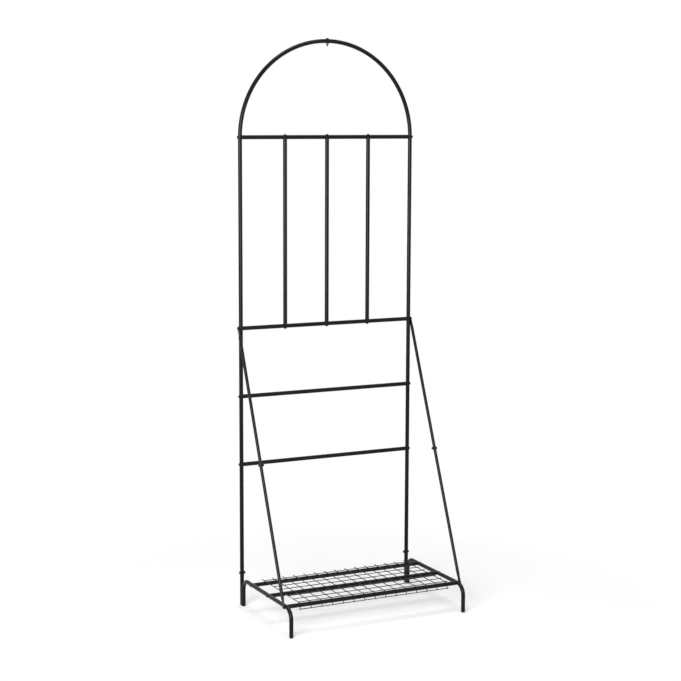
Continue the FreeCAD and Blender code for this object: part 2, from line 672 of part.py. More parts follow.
def outer_places(y, z, stand_off="0"):
    """Bolt places on the outer sides of the posts or side frames."""
    x = f"({HALF_SPACING} + {TUBE_RADIUS} + {stand_off} + Sizes.seat_gap)"
    return [((f"{sign} * {x}", y, z), OUTWARD[sign]) for sign in SIDES.values()]


BRACE_STAND_OFF = "Sizes.brace_gap + Sizes.flat_thickness"
SHORT_SHANK = "Sizes.tube_diameter + Sizes.bolt_engagement"
short_bolt = bolt("short_bolt", SHORT_SHANK)
long_bolt = bolt("long_bolt", f"{SHORT_SHANK} + {BRACE_STAND_OFF}")

crossbar_bolt_places = []
for name in ("top", "upper", "lower"):
    crossbar_bolt_places += outer_places(POST_Y, CROSSBAR_HEIGHTS[name])
copies("crossbar_bolts", short_bolt, crossbar_bolt_places)

rail_bolt_places = []
for rail in ("rear", "middle"):
    rail_bolt_places += outer_places(RAIL_YS[rail], "Sizes.shelf_height")
copies("shelf_rail_bolts", short_bolt, rail_bolt_places)

head_places = outer_places(POST_Y, CROSSBAR_HEIGHTS["trellis"], BRACE_STAND_OFF)
copies("brace_head_bolts", long_bolt, head_places)
foot_places = outer_places(RAIL_YS["front"], "Sizes.shelf_height", BRACE_STAND_OFF)
copies("brace_foot_bolts", long_bolt, foot_places)

TUBE_SEAT = f"({TUBE_RADIUS} + Sizes.seat_gap)"
trellis_bolt_places = []
for bar_place in TRELLIS_PLACES.values():
    bar_x = f"{bar_place} * {TRELLIS_PITCH}"
    trellis_bolt_places.append(((bar_x, POST_Y, f"Sizes.arch_height + {TUBE_SEAT}"), UP))
    trellis_bolt_places.append(((bar_x, POST_Y, f"Sizes.trellis_foot_height - {TUBE_SEAT}"), DOWN))
copies("trellis_bolts", short_bolt, trellis_bolt_places)


# Through bolts and their nuts, at the crown of the arch, the post sockets and the brace joints

nut = new_body("nut")
nut_outline = new_sketch(nut, "nut_outline", "XY_Plane")
hexagon(nut_outline, "Sizes.nut_width")
circle(nut_outline, "Sizes.bolt_diameter + Sizes.thread_play")
pad(nut, nut_outline, "Sizes.nut_height", "nut_pad")

NUT_GRIP = "2 * Sizes.seat_gap + Sizes.nut_height"
crown_screw = bolt("crown_screw", f"Sizes.tube_diameter + {NUT_GRIP} + Sizes.crown_tail")
socket_screw = bolt("socket_screw", f"Sizes.tube_diameter + {NUT_GRIP} + Sizes.nut_tail")
brace_screw = bolt("brace_screw", f"Sizes.brace_diameter + {NUT_GRIP} + Sizes.nut_tail")

copies("crown_bolt", crown_screw, [(("0", POST_Y, f"{CROWN_HEIGHT} + {TUBE_SEAT}"), UP)])
copies("crown_nut", nut, [(("0", POST_Y, f"{CROWN_HEIGHT} - {TUBE_SEAT}"), DOWN)])

copies("socket_bolts", socket_screw, outer_places(POST_Y, SOCKET_BOLT_HEIGHT))
socket_nut_x = f"({HALF_SPACING} - {TUBE_SEAT})"
copies("socket_nuts", nut, [
    ((f"{sign} * {socket_nut_x}", POST_Y, SOCKET_BOLT_HEIGHT), INWARD[sign]) for sign in SIDES.values()
])

joint_y = f"{POST_Y} - Sizes.front_rail_reach / 2"
joint_z = "(Sizes.trellis_foot_height + Sizes.shelf_height) / 2"
joint_seat = f"({BRACE_RADIUS} + Sizes.seat_gap)"
copies("brace_joint_bolts", brace_screw, [
    ((f"{sign} * ({BRACE_X} + {joint_seat})", joint_y, joint_z), OUTWARD[sign]) for sign in SIDES.values()
])
copies("brace_joint_nuts", nut, [
    ((f"{sign} * ({BRACE_X} - {joint_seat})", joint_y, joint_z), INWARD[sign]) for sign in SIDES.values()
])


# Foot plugs: black moulded plugs pushed up into the six tube ends that meet the floor

plug = new_body("plug")
sole_radius = "Sizes.plug_diameter / 2"
stem_radius = f"{BORE_RADIUS} - Sizes.insert_play"
flange_top = "Sizes.plug_height - Sizes.seat_gap"
stem_top = "Sizes.plug_height + Sizes.plug_stem_length"
turned(plug, [
    ("0", "0"),
    (f"{sole_radius} - Sizes.plug_edge", "0"),
    (sole_radius, "Sizes.plug_edge"),
    (sole_radius, flange_top),
    (stem_radius, flange_top),
    (stem_radius, stem_top),
    ("0", stem_top),
])

rear_plug_places = []
front_plug_places = []
for sign in SIDES.values():
    leg_x = f"{sign} * {HALF_SPACING}"
    rear_plug_places += [((leg_x, POST_Y, "0"), UP), ((leg_x, REAR_LEG_Y, "0"), UP)]
    front_plug_places.append(((leg_x, FRONT_LEG_Y, "0"), UP))
copies("rear_foot_plugs", plug, rear_plug_places)
copies("front_foot_plugs", plug, front_plug_places)


# Checks, then one file for each sub-part

doc.recompute()
for item in doc.Objects:
    if "Invalid" in item.State or "Error" in item.State:
        raise RuntimeError(f"{item.Label} did not build: {item.State}")
for sub_part in sub_parts:
    if sub_part.Shape.isNull() or not sub_part.Shape.isValid():
        raise RuntimeError(f"{sub_part.Label} has no valid shape")

os.makedirs("parts", exist_ok=True)
for sub_part in sub_parts:
    sub_part.Shape.exportStep(f"parts/{sub_part.Label}.step")
    print(f"{sub_part.Label}: {len(sub_part.Shape.Solids)} solid(s), {sub_part.Shape.Volume:.0f} mm3")
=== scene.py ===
import math

import bmesh
import bpy
from mathutils import Matrix, Vector


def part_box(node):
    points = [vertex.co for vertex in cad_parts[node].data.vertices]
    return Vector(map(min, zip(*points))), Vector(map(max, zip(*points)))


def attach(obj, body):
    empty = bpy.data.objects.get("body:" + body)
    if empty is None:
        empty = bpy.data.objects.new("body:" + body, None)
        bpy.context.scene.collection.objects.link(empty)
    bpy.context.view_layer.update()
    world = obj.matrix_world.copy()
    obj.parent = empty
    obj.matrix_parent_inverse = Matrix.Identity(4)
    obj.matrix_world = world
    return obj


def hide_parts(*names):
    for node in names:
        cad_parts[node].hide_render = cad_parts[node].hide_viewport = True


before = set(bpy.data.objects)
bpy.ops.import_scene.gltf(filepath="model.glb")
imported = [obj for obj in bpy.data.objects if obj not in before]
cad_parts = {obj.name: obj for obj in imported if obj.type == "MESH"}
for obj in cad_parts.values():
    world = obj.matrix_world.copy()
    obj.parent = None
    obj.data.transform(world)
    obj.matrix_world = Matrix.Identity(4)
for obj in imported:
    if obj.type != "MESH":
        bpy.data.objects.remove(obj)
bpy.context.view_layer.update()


# ---------------------------------------------------------------------------------------------
# Side frames. Each is one steel tube bent into an upside-down U: rear leg, side rail, front leg.
# A short socket tube for the post is welded behind the rear leg with two beads on each side,
# and the whole frame is then coated with black satin powder.

MM = 0.001
TUBE_RADIUS = 6.5 * MM
TUBE_WALL = 1.0 * MM
TUBE_BORE = TUBE_RADIUS - TUBE_WALL
JOINT_GAP = 0.2 * MM
NEIGHBOUR = TUBE_RADIUS + JOINT_GAP
TUBE_SIDES = 36
TUBE_CREASE = math.radians(50)
SEAM_MERGE = 0.02 * MM
BEND_STEPS = 20
BEND_RADIUS = 34 * MM
FOOT_LEVEL = 3 * MM
SOCKET_TOP = 118 * MM
WELD_BITE = 0.6 * MM


def middle_of(node):
    """The middle of a node's box."""
    low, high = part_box(node)
    return (low + high) / 2


POST_X, POST_Y = middle_of("lower_post_right").xy
SHELF_Z = middle_of("shelf_rail_front").z
FRONT_LEG_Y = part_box("side_frame_right")[0].y + TUBE_RADIUS
REAR_LEG_Y = POST_Y - 2 * TUBE_RADIUS + WELD_BITE

SIDES = {"left": -1, "right": 1}
ACROSS = Vector((1, 0, 0))
BACK = Vector((0, 1, 0))
UP = Vector((0, 0, 1))
STILL = Vector((0, 0, 0))

# A cut tube end, from the bore outwards: distance in from the end, and how far inside the outer skin
END_LIP = [(0.0, TUBE_WALL), (0.06 * MM, 0.24 * MM), (0.14 * MM, 0.06 * MM), (0.4 * MM, 0.0), (1.0 * MM, 0.0)]
# How rubbed the coating is: distance in from the end, and share; nearer the end it stays at the first share
END_RUB = [(1.0 * MM, 0.8), (4 * MM, 0.4), (13 * MM, 0.0)]


def add_node(tree, kind, inputs=None, **settings):
    """A node with its settings; an input is given a value, or linked to another node's output."""
    made = tree.nodes.new(kind)
    for name, value in settings.items():
        setattr(made, name, value)
    for socket, value in (inputs or {}).items():
        if isinstance(value, bpy.types.NodeSocket):
            tree.links.new(value, made.inputs[socket])
        else:
            made.inputs[socket].default_value = value
    return made


def output_of(tree, kind, inputs=None, which=0, **settings):
    """One output of a new node."""
    return add_node(tree, kind, inputs, **settings).outputs[which]


def math_node(tree, operation, *values):
    return output_of(tree, "ShaderNodeMath", dict(enumerate(values)), operation=operation)


def vector_math(tree, operation, *values, which=0):
    return output_of(tree, "ShaderNodeVectorMath", dict(enumerate(values)), which, operation=operation)


def scaled(tree, vector, by):
    return output_of(tree, "ShaderNodeVectorMath", {0: vector, "Scale": by}, operation="SCALE")


def new_tree(name, **inputs):
    """An empty geometry tree with named inputs, its entry's outputs and its exit's input."""
    tree = bpy.data.node_groups.new(name, "GeometryNodeTree")
    for label, kind in inputs.items():
        tree.interface.new_socket(label, in_out="INPUT", socket_type=f"NodeSocket{kind}")
    tree.interface.new_socket("Mesh", in_out="OUTPUT", socket_type="NodeSocketGeometry")
    return tree, tree.nodes.new("NodeGroupInput").outputs, tree.nodes.new("NodeGroupOutput").inputs[0]


def read(tree, name, data_type="FLOAT"):
    """A named attribute's field."""
    return output_of(tree, "GeometryNodeInputNamedAttribute", {"Name": name}, data_type=data_type)


def line_along(tree, path):
    """A curve along a mesh's edges, its flat side turned as the path says."""
    line = output_of(tree, "GeometryNodeMeshToCurve", {"Mesh": path})
    return output_of(tree, "GeometryNodeSetCurveNormal",
                     {"Curve": line, "Normal": read(tree, "flat_side", "FLOAT_VECTOR")}, mode="FREE")


def swept(tree, line, sides, girth, capped):
    """A round skin along a curve, as thick as its girth."""
    ring = output_of(tree, "GeometryNodeCurvePrimitiveCircle",
                     {"Resolution": sides, "Radius": 1.0}, mode="RADIUS")
    return output_of(tree, "GeometryNodeCurveToMesh",
                     {"Curve": line, "Profile Curve": ring, "Scale": girth, "Fill Caps": capped})


def close_tree(tree, skin, leaving, finish, crease):
    """The end of each tree: smooth faces, crisp where two meet at more than an angle, in their finish."""
    real = output_of(tree, "GeometryNodeRealizeInstances", {"Geometry": skin})
    smooth = output_of(tree, "GeometryNodeSetShadeSmooth", {"Geometry": real}, domain="FACE")
    angle = output_of(tree, "GeometryNodeInputMeshEdgeAngle", which="Unsigned Angle")
    crisp = output_of(tree, "GeometryNodeSetShadeSmooth",
                      {"Geometry": smooth, "Selection": math_node(tree, "GREATER_THAN", angle, crease),
                       "Shade Smooth": False}, domain="EDGE")
    real = output_of(tree, "GeometryNodeRealizeInstances", {"Geometry": crisp})
    finished = output_of(tree, "GeometryNodeSetMaterial", {"Geometry": real, "Material": finish})
    tree.links.new(finished, leaving)


def put_in_scene(name, data):
    thing = bpy.data.objects.new(name, data)
    bpy.context.scene.collection.objects.link(thing)
    return thing


def made_by(tree, name, mesh, **sizes):
    """A piece whose mesh a tree makes from a mesh and named sizes; the modifier is taken off again."""
    piece = put_in_scene(name, mesh)
    maker = piece.modifiers.new("maker", "NODES")
    maker.node_group = tree
    for socket in tree.interface.items_tree:
        if socket.in_out == "INPUT" and socket.name in sizes:
            maker[socket.identifier] = sizes[socket.name]
    graph = bpy.context.evaluated_depsgraph_get()
    finished = bpy.data.meshes.new_from_object(
        piece.evaluated_get(graph), preserve_all_data_layers=True, depsgraph=graph)
    piece.modifiers.remove(maker)
    piece.data = finished
    finished.name = name
    # The shape set on points brings an empty material slot along, so only the finish is kept
    finish = next(material for material in finished.materials if material)
    finished.materials.clear()
    finished.materials.append(finish)
    return piece


def belongs(piece, slot, *nodes):
    """Fix a piece to the rack in place of its plain solids; the slot that it is given is not used."""
    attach(piece, "root")
    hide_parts(*nodes)


# One tree sweeps every round tube: chains of edges carry the radius at each point, and a point whose
# "outward" isn't zero is pushed out to hollow the end round the tube that it butts against.

tube_tree, tube_in, tube_out = new_tree(
    "tube_along_path", Path="Geometry", Sides="Int", Neighbour="Float", Coating="Material")
tube_centre = add_node(tube_tree, "GeometryNodeCaptureAttribute", domain="POINT")
tube_centre.capture_items.new("VECTOR", "centre")
tube_tree.links.new(line_along(tube_tree, tube_in["Path"]), tube_centre.inputs["Geometry"])
tube_tree.links.new(output_of(tube_tree, "GeometryNodeInputPosition"), tube_centre.inputs["centre"])
tube_skin = swept(tube_tree, tube_centre.outputs["Geometry"], tube_in["Sides"], read(tube_tree, "girth"),
                  capped=False)
off_centre = vector_math(
    tube_tree, "SUBTRACT", output_of(tube_tree, "GeometryNodeInputPosition"), tube_centre.outputs["centre"])
beside = vector_math(tube_tree, "DOT_PRODUCT", off_centre, read(tube_tree, "across", "FLOAT_VECTOR"), which=1)
chord = math_node(tube_tree, "SQRT", math_node(
    tube_tree, "SUBTRACT", math_node(tube_tree, "MULTIPLY", tube_in["Neighbour"], tube_in["Neighbour"]),
    math_node(tube_tree, "MULTIPLY", beside, beside)))
push = math_node(tube_tree, "SUBTRACT", tube_in["Neighbour"], chord)
hollowing = scaled(tube_tree, read(tube_tree, "outward", "FLOAT_VECTOR"), push)
tube_skin = output_of(tube_tree, "GeometryNodeSetPosition", {"Geometry": tube_skin, "Offset": hollowing})
is_bore = math_node(tube_tree, "GREATER_THAN", read(tube_tree, "inside"), 0.5)
tube_skin = output_of(tube_tree, "GeometryNodeFlipFaces", {"Mesh": tube_skin, "Selection": is_bore})
tube_skin = output_of(tube_tree, "GeometryNodeMergeByDistance",
                      {"Geometry": tube_skin, "Distance": SEAM_MERGE})
close_tree(tube_tree, tube_skin, tube_out, tube_in["Coating"], TUBE_CREASE)


def path_point(place, radius, inside=0, rub=0, outward=STILL, across=STILL):
    """A point of a chain, with what the tube tree reads there."""
    return place, radius, inside, rub, outward, across


def path_mesh(name, chains, flat_side):
    """Chains of points as a mesh of edges."""
    places, edges, details = [], [], []
    for chain in chains:
        first = len(places)
        edges += [(first + step, first + step + 1) for step in range(len(chain) - 1)]
        places += [point[0] for point in chain]
        details += [point[1:] for point in chain]
    mesh = bpy.data.meshes.new(name)
    mesh.from_pydata(places, edges, [])
    for column, label in enumerate(("girth", "inside", "rub")):
        mesh.attributes.new(label, "FLOAT", "POINT").data.foreach_set(
            "value", [float(detail[column]) for detail in details])
    for column, label in ((3, "outward"), (4, "across")):
        mesh.attributes.new(label, "FLOAT_VECTOR", "POINT").data.foreach_set(
            "vector", [value for detail in details for value in detail[column]])
    mesh.attributes.new("flat_side", "FLOAT_VECTOR", "POINT").data.foreach_set(
        "vector", list(flat_side) * len(places))
    return mesh


def place_along(line, far):
    """The place at a distance along a line of points."""
    for near, after in zip(line, line[1:]):
        run = (after - near).length
        if far <= run:
            return near.lerp(after, far / run)
        far -= run
    return line[-1].copy()


def between(rows, far):
    """The value at a distance in a table of (distance, value), level past its ends."""
    for (low, first), (high, second) in zip(rows, rows[1:]):
        if far <= high:
            return first + (second - first) * max(0.0, far - low) / (high - low)
    return rows[-1][1]


def tube_chains(line, across=None):
    """Outer skin and bore of a tube along a line of points; its ends may be hollowed across a direction."""
    corners = [0.0]
    for near, after in zip(line, line[1:]):
        corners.append(corners[-1] + (after - near).length)
    total = corners[-1]
    marks = [far for far, less in END_LIP] + [far for far, rub in END_RUB[1:]]
    marks += [total - far for far in marks]
    marks += [far for far in corners if min(abs(far - mark) for mark in marks) > 0.5 * MM]
    near_end, far_end = (line[0] - line[1]).normalized(), (line[-1] - line[-2]).normalized()
    outer = []
    for far in sorted(marks):
        from_end = min(far, total - far)
        hollow = (STILL, STILL)
        if across and from_end <= END_LIP[-1][0]:
            hollow = (near_end if far < total / 2 else far_end, across)
        outer.append(path_point(place_along(line, far), TUBE_RADIUS - between(END_LIP, from_end), 0,
                                between(END_RUB, from_end), *hollow))
    bore = [path_point(place, TUBE_BORE, 1) for place in line]
    for end in (0, -1):
        bore[end] = path_point(line[end], TUBE_BORE, 1, 1, *outer[end][4:])
    return [outer, bore]


def arc(centre, start, turn_to, sweep, steps):
    """Points from centre + start, turned through a sweep towards centre + turn_to."""
    angles = [sweep * step / steps for step in range(steps + 1)]
    return [centre + start * math.cos(angle) + turn_to * math.sin(angle) for angle in angles]


def noise(tree, place, scale, detail, roughness):
    """A cloudy value; the scale is in clouds to the metre."""
    return output_of(tree, "ShaderNodeTexNoise",
                     {"Vector": place, "Scale": scale, "Detail": detail, "Roughness": roughness}, "Fac")


def ramp(tree, value, low, high, start=0.0, end=1.0):
    """A value's stretch from low to high, laid over start to end."""
    return output_of(tree, "ShaderNodeMapRange",
                     {"Value": value, "From Min": low, "From Max": high, "To Min": start, "To Max": end})


def blend_colours(tree, share, first, second):
    return output_of(tree, "ShaderNodeMix", {0: share, 6: first, 7: second}, 2, data_type="RGBA")


def grey(level, warm=0.0):
    return (level * (1 + warm), level, level * (1 - warm), 1)


def new_finish(name, **constants):
    """An empty material with its shader's constants set, its tree, shader and the surface's own place."""
    material = bpy.data.materials.new(name)
    material.use_nodes = True
    tree = material.node_tree
    shader = tree.nodes["Principled BSDF"]
    for label, value in constants.items():
        shader.inputs[label.replace("_", " ")].default_value = value
    return material, tree, shader, output_of(tree, "ShaderNodeTexCoord", which="Object")


def surface(tree, shader, base, rough, strength, depth, relief):
    """Give a shader its colour, its roughness and its relief of a given depth."""
    tree.links.new(base, shader.inputs["Base Color"])
    tree.links.new(rough, shader.inputs["Roughness"])
    bump = output_of(tree, "ShaderNodeBump", {"Strength": strength, "Distance": depth, "Height": relief})
    tree.links.new(bump, shader.inputs["Normal"])


# How fine the coat's patterns are, in clouds to the metre, how deep its orange peel is, how much fine
# grain lies over that, and its colour where it is rubbed
COAT_SCALES = {
    "tint": 7.0, "satin": 55.0, "specks": 420.0, "dimples": 650.0, "scuffs": 900.0, "grain": 3200.0}
PEEL_DEPTH = 0.12 * MM
GRAIN_SHARE = 0.07
RUBBED_COAT = grey(0.075, 0.03)


def powder_coat(name, dark, light, peel, satin):
    """Black powder coat: two near blacks in broad clouds, orange peel, satin grain, and rubbed tube ends."""
    material, tree, shader, place = new_finish(name, Specular_IOR_Level=0.145, IOR=1.5)
    tint = noise(tree, place, COAT_SCALES["tint"], 3.0, 0.6)
    base = blend_colours(tree, ramp(tree, tint, 0.35, 0.65), grey(dark), grey(light, 0.02))
    specks = noise(tree, place, COAT_SCALES["specks"], 2.0, 0.7)
    base = blend_colours(tree, ramp(tree, specks, 0.68, 0.8, 0.0, 0.5), base, grey(light * 2.2))
    scuffs = noise(tree, place, COAT_SCALES["scuffs"], 4.0, 0.75)
    rub = output_of(tree, "ShaderNodeAttribute", which="Fac", attribute_name="rub")
    worn = ramp(tree, math_node(tree, "MULTIPLY", rub, scuffs), 0.42, 0.62, 0.0, 0.7)
    base = blend_colours(tree, worn, base, RUBBED_COAT)
    patches = noise(tree, place, COAT_SCALES["satin"], 3.0, 0.6)
    rough = ramp(tree, patches, 0.3, 0.7, satin - 0.05, satin + 0.06)
    rough = math_node(tree, "ADD", rough, math_node(tree, "MULTIPLY", worn, 0.2))
    dimples = noise(tree, place, COAT_SCALES["dimples"], 1.0, 0.4)
    grain = noise(tree, place, COAT_SCALES["grain"], 2.0, 0.5)
    relief = math_node(tree, "ADD", dimples, math_node(tree, "MULTIPLY", grain, GRAIN_SHARE))
    surface(tree, shader, base, rough, peel, PEEL_DEPTH, relief)
    return material


black_powder_coat = powder_coat("black_powder_coat", dark=0.004, light=0.007, peel=0.4, satin=0.2)


def coated_tube(node, chains, flat_side):
    """A coated steel tube along its chains, in place of its node."""
    tube = made_by(tube_tree, f"{node}_tube", path_mesh(f"{node}_path", chains, flat_side), Sides=TUBE_SIDES,
                   Neighbour=NEIGHBOUR, Coating=black_powder_coat)
    belongs(tube, "coated_tube", node)


# The beads: a short run of melted steel, rippled where the torch paused, tapering at both ends

BEAD_RADIUS = 2.1 * MM
BEAD_RIPPLE = 1.6 * MM
BEAD_STEP = 0.25 * MM
BEAD_OUT = 3.9 * MM
BEAD_SIDES = 14
BEAD_RUNS = [(9 * MM, 24 * MM), (36 * MM, 51 * MM)]
BEAD_BLUNTNESS = 5.0
# In shares of a bead's radius: the dip between ripples and their rise, and the unevenness' least and span
RIPPLE_LOW, RIPPLE_RISE = 0.88, 0.09
WANDER_LOW, WANDER_SPAN = 0.72, 0.55
WANDER_SCALE = 210.0

bead_tree, bead_in, bead_out = new_tree(
    "weld_bead", Path="Geometry", Bead="Float", Ripple="Float", Sides="Int", Seed="Float", Coating="Material")
bead_line = output_of(bead_tree, "GeometryNodeMeshToCurve", {"Mesh": bead_in["Path"]})
bead_line = output_of(bead_tree, "GeometryNodeResampleCurve",
                      {"Curve": bead_line, "Length": BEAD_STEP}, mode="LENGTH")
along = add_node(bead_tree, "GeometryNodeSplineParameter").outputs
wave = math_node(bead_tree, "SINE", math_node(bead_tree, "MULTIPLY", math.pi, math_node(
    bead_tree, "DIVIDE", along["Length"], bead_in["Ripple"])))
ripples = math_node(bead_tree, "ADD", RIPPLE_LOW, math_node(bead_tree, "MULTIPLY", math_node(
    bead_tree, "ABSOLUTE", wave), RIPPLE_RISE))
from_middle = math_node(bead_tree, "ABSOLUTE", math_node(
    bead_tree, "SUBTRACT", math_node(bead_tree, "MULTIPLY", along["Factor"], 2.0), 1.0))
taper = math_node(bead_tree, "SQRT", math_node(
    bead_tree, "SUBTRACT", 1.02, math_node(bead_tree, "POWER", from_middle, BEAD_BLUNTNESS)))
wander = output_of(bead_tree, "ShaderNodeTexNoise", {"Scale": WANDER_SCALE, "W": bead_in["Seed"]}, "Fac",
                   noise_dimensions="4D")
bead_girth = math_node(bead_tree, "MULTIPLY", bead_in["Bead"], math_node(
    bead_tree, "MULTIPLY", ripples, math_node(bead_tree, "MULTIPLY", taper, math_node(
        bead_tree, "ADD", WANDER_LOW, math_node(bead_tree, "MULTIPLY", wander, WANDER_SPAN)))))
bead_skin = swept(bead_tree, bead_line, bead_in["Sides"], bead_girth, capped=True)
close_tree(bead_tree, bead_skin, bead_out, bead_in["Coating"], math.pi)

for side, sign in SIDES.items():
    x = sign * POST_X
    bend_z = SHELF_Z - BEND_RADIUS
    rear_bend = Vector((x, REAR_LEG_Y - BEND_RADIUS, bend_z))
    front_bend = Vector((x, FRONT_LEG_Y + BEND_RADIUS, bend_z))
    frame_line = [Vector((x, REAR_LEG_Y, FOOT_LEVEL))]
    frame_line += arc(rear_bend, BACK * BEND_RADIUS, UP * BEND_RADIUS, math.pi / 2, BEND_STEPS)
    frame_line += arc(front_bend, UP * BEND_RADIUS, -BACK * BEND_RADIUS, math.pi / 2, BEND_STEPS)
    frame_line += [Vector((x, FRONT_LEG_Y, FOOT_LEVEL))]
    socket_line = [Vector((x, POST_Y, z)) for z in (FOOT_LEVEL, SOCKET_TOP / 2, SOCKET_TOP)]
    coated_tube(f"side_frame_{side}", tube_chains(frame_line) + tube_chains(socket_line), ACROSS)

    bead_places, bead_edges = [], []
    for edge_sign in SIDES.values():
        for low, high in BEAD_RUNS:
            bead_edges.append((len(bead_places), len(bead_places) + 1))
            bead_places += [(x + edge_sign * BEAD_OUT, (POST_Y + REAR_LEG_Y) / 2, z) for z in (low, high)]
    bead_path = bpy.data.meshes.new(f"weld_beads_{side}_path")
    bead_path.from_pydata(bead_places, bead_edges, [])
    beads = made_by(bead_tree, f"weld_beads_{side}", bead_path, Bead=BEAD_RADIUS, Ripple=BEAD_RIPPLE,
                    Sides=BEAD_SIDES, Seed=3.0 + sign, Coating=black_powder_coat)
    belongs(beads, "coated_tube")


# ---------------------------------------------------------------------------------------------
# Foot plugs. Black moulded plastic plugs, pushed up into the six tube ends that meet the floor:
# a sole with a rounded edge, and a stem with grip ribs that hold it in the tube.

PLUG_SIDES = 36
SOLE_RADIUS = 5.8 * MM
SOLE_TOP = 2.95 * MM
STEM_CORE = 4.9 * MM
RIB_RADIUS = 5.45 * MM
RIB_FEET = (5 * MM, 10 * MM, 15 * MM)
STEM_TOP = 19 * MM

# A plug from the sole upwards: radius and height
PLUG_ROWS = [
    (0.0, 0.25 * MM), (2.6 * MM, 0.25 * MM), (3.0 * MM, 0.0), (5.1 * MM, 0.0), (5.5 * MM, 0.12 * MM),
    (5.72 * MM, 0.42 * MM), (SOLE_RADIUS, 0.85 * MM), (SOLE_RADIUS, 2.7 * MM), (5.72 * MM, SOLE_TOP),
    (STEM_CORE, SOLE_TOP),
]
for rib in RIB_FEET:
    PLUG_ROWS += [(STEM_CORE, rib), (RIB_RADIUS, rib + 1 * MM), (RIB_RADIUS, rib + 2 * MM)]
    if rib < RIB_FEET[-1]:
        PLUG_ROWS.append((STEM_CORE, rib + 2.4 * MM))
PLUG_ROWS += [(4.6 * MM, STEM_TOP), (0.0, STEM_TOP)]


def turned_mesh(name, rows, sides):
    """Rows of (radius, height) turned about Z. A row with two more values is a hexagon: its width across
    flats, its height, and the slope of its corners beyond a radius."""
    places, faces, rings = [], [], []
    for row in rows:
        radius, height, *corner = row
        if rings and row == rows[0]:
            rings.append(rings[0])
            continue
        if radius == 0:
            rings.append([len(places)])
            places.append((0, 0, height))
            continue
        rings.append(list(range(len(places), len(places) + sides)))
        for step in range(sides):
            angle = 2 * math.pi * step / sides
            reach, lift = radius, height
            if corner:
                slope, start = corner
                reach = radius / 2 / math.cos(angle % (math.pi / 3) - math.pi / 6)
                lift += slope * (reach - start)
            places.append((reach * math.cos(angle), reach * math.sin(angle), lift))
    for lower, upper in zip(rings, rings[1:]):
        for step in range(sides):
            after = (step + 1) % sides
            if len(lower) == 1:
                faces.append((lower[0], upper[after], upper[step]))
            elif len(upper) == 1:
                faces.append((lower[step], lower[after], upper[0]))
            else:
                faces.append((lower[step], lower[after], upper[after], upper[step]))
    mesh = bpy.data.meshes.new(name)
    mesh.from_pydata(places, [], faces)
    return mesh


# One tree sets a turned piece at each point, along the point's "aim" and turned by a random angle;
# where it has turns of thread, a ridge winds round its core above the start height.

RIDGE_SHARE = 0.46
STEPS_PER_TURN = 24
TURNED_CREASE = math.radians(38)

set_tree, set_in, set_out = new_tree(
    "set_on_points", Points="Geometry", Piece="Object", Turns="Float", Pitch="Float", Core="Float",
    Start="Float", Seed="Int", Finish="Material")
set_body = output_of(set_tree, "GeometryNodeObjectInfo", {"Object": set_in["Piece"]}, "Geometry",
                     transform_space="ORIGINAL")
coil_height = math_node(set_tree, "MULTIPLY", set_in["Turns"], set_in["Pitch"])
coil = output_of(set_tree, "GeometryNodeCurveSpiral",
                 {"Resolution": STEPS_PER_TURN, "Rotations": set_in["Turns"], "Start Radius": set_in["Core"],
                  "End Radius": set_in["Core"], "Height": coil_height})
coil = output_of(set_tree, "GeometryNodeSetCurveNormal", {"Curve": coil}, mode="Z_UP")
coil = swept(set_tree, coil, 4, math_node(set_tree, "MULTIPLY", set_in["Pitch"], RIDGE_SHARE), capped=True)
coil_start = output_of(set_tree, "ShaderNodeCombineXYZ", {"Z": set_in["Start"]})
coil = output_of(set_tree, "GeometryNodeTransform", {"Geometry": coil, "Translation": coil_start})
threaded = output_of(set_tree, "GeometryNodeSwitch",
                     {"Switch": math_node(set_tree, "GREATER_THAN", set_in["Turns"], 0.01), "True": coil},
                     input_type="GEOMETRY")
set_parts = add_node(set_tree, "GeometryNodeJoinGeometry")
set_tree.links.new(threaded, set_parts.inputs[0])
set_tree.links.new(set_body, set_parts.inputs[0])
aimed = output_of(set_tree, "FunctionNodeAlignRotationToVector",
                  {"Vector": read(set_tree, "aim", "FLOAT_VECTOR")}, axis="Z")
spin = output_of(set_tree, "FunctionNodeRandomValue", {2: 0.0, 3: 2 * math.pi, "Seed": set_in["Seed"]}, 1,
                 data_type="FLOAT")
spun = output_of(set_tree, "FunctionNodeAxisAngleToRotation", {"Axis": (0, 0, 1), "Angle": spin})
aimed = output_of(set_tree, "FunctionNodeRotateRotation", {"Rotation": aimed, "Rotate By": spun},
                  rotation_space="LOCAL")
set_pieces = output_of(set_tree, "GeometryNodeInstanceOnPoints",
                       {"Points": set_in["Points"], "Instance": set_parts.outputs[0], "Rotation": aimed})
close_tree(set_tree, set_pieces, set_out, set_in["Finish"], TURNED_CREASE)


def set_on_points(name, shape, places, finish, slot, node, seed, **thread):
    """Copies of a turned piece, one at each (point, aim), as one finished piece in place of a node."""
    master = put_in_scene(f"{name}_master", shape)
    points = bpy.data.meshes.new(f"{name}_points")
    points.from_pydata([place for place, aim in places], [], [])
    points.attributes.new("aim", "FLOAT_VECTOR", "POINT").data.foreach_set(
        "vector", [value for place, aim in places for value in aim])
    piece = made_by(set_tree, name, points, Piece=master, Seed=seed, Finish=finish, **thread)
    bpy.data.objects.remove(master)
    belongs(piece, slot, node)


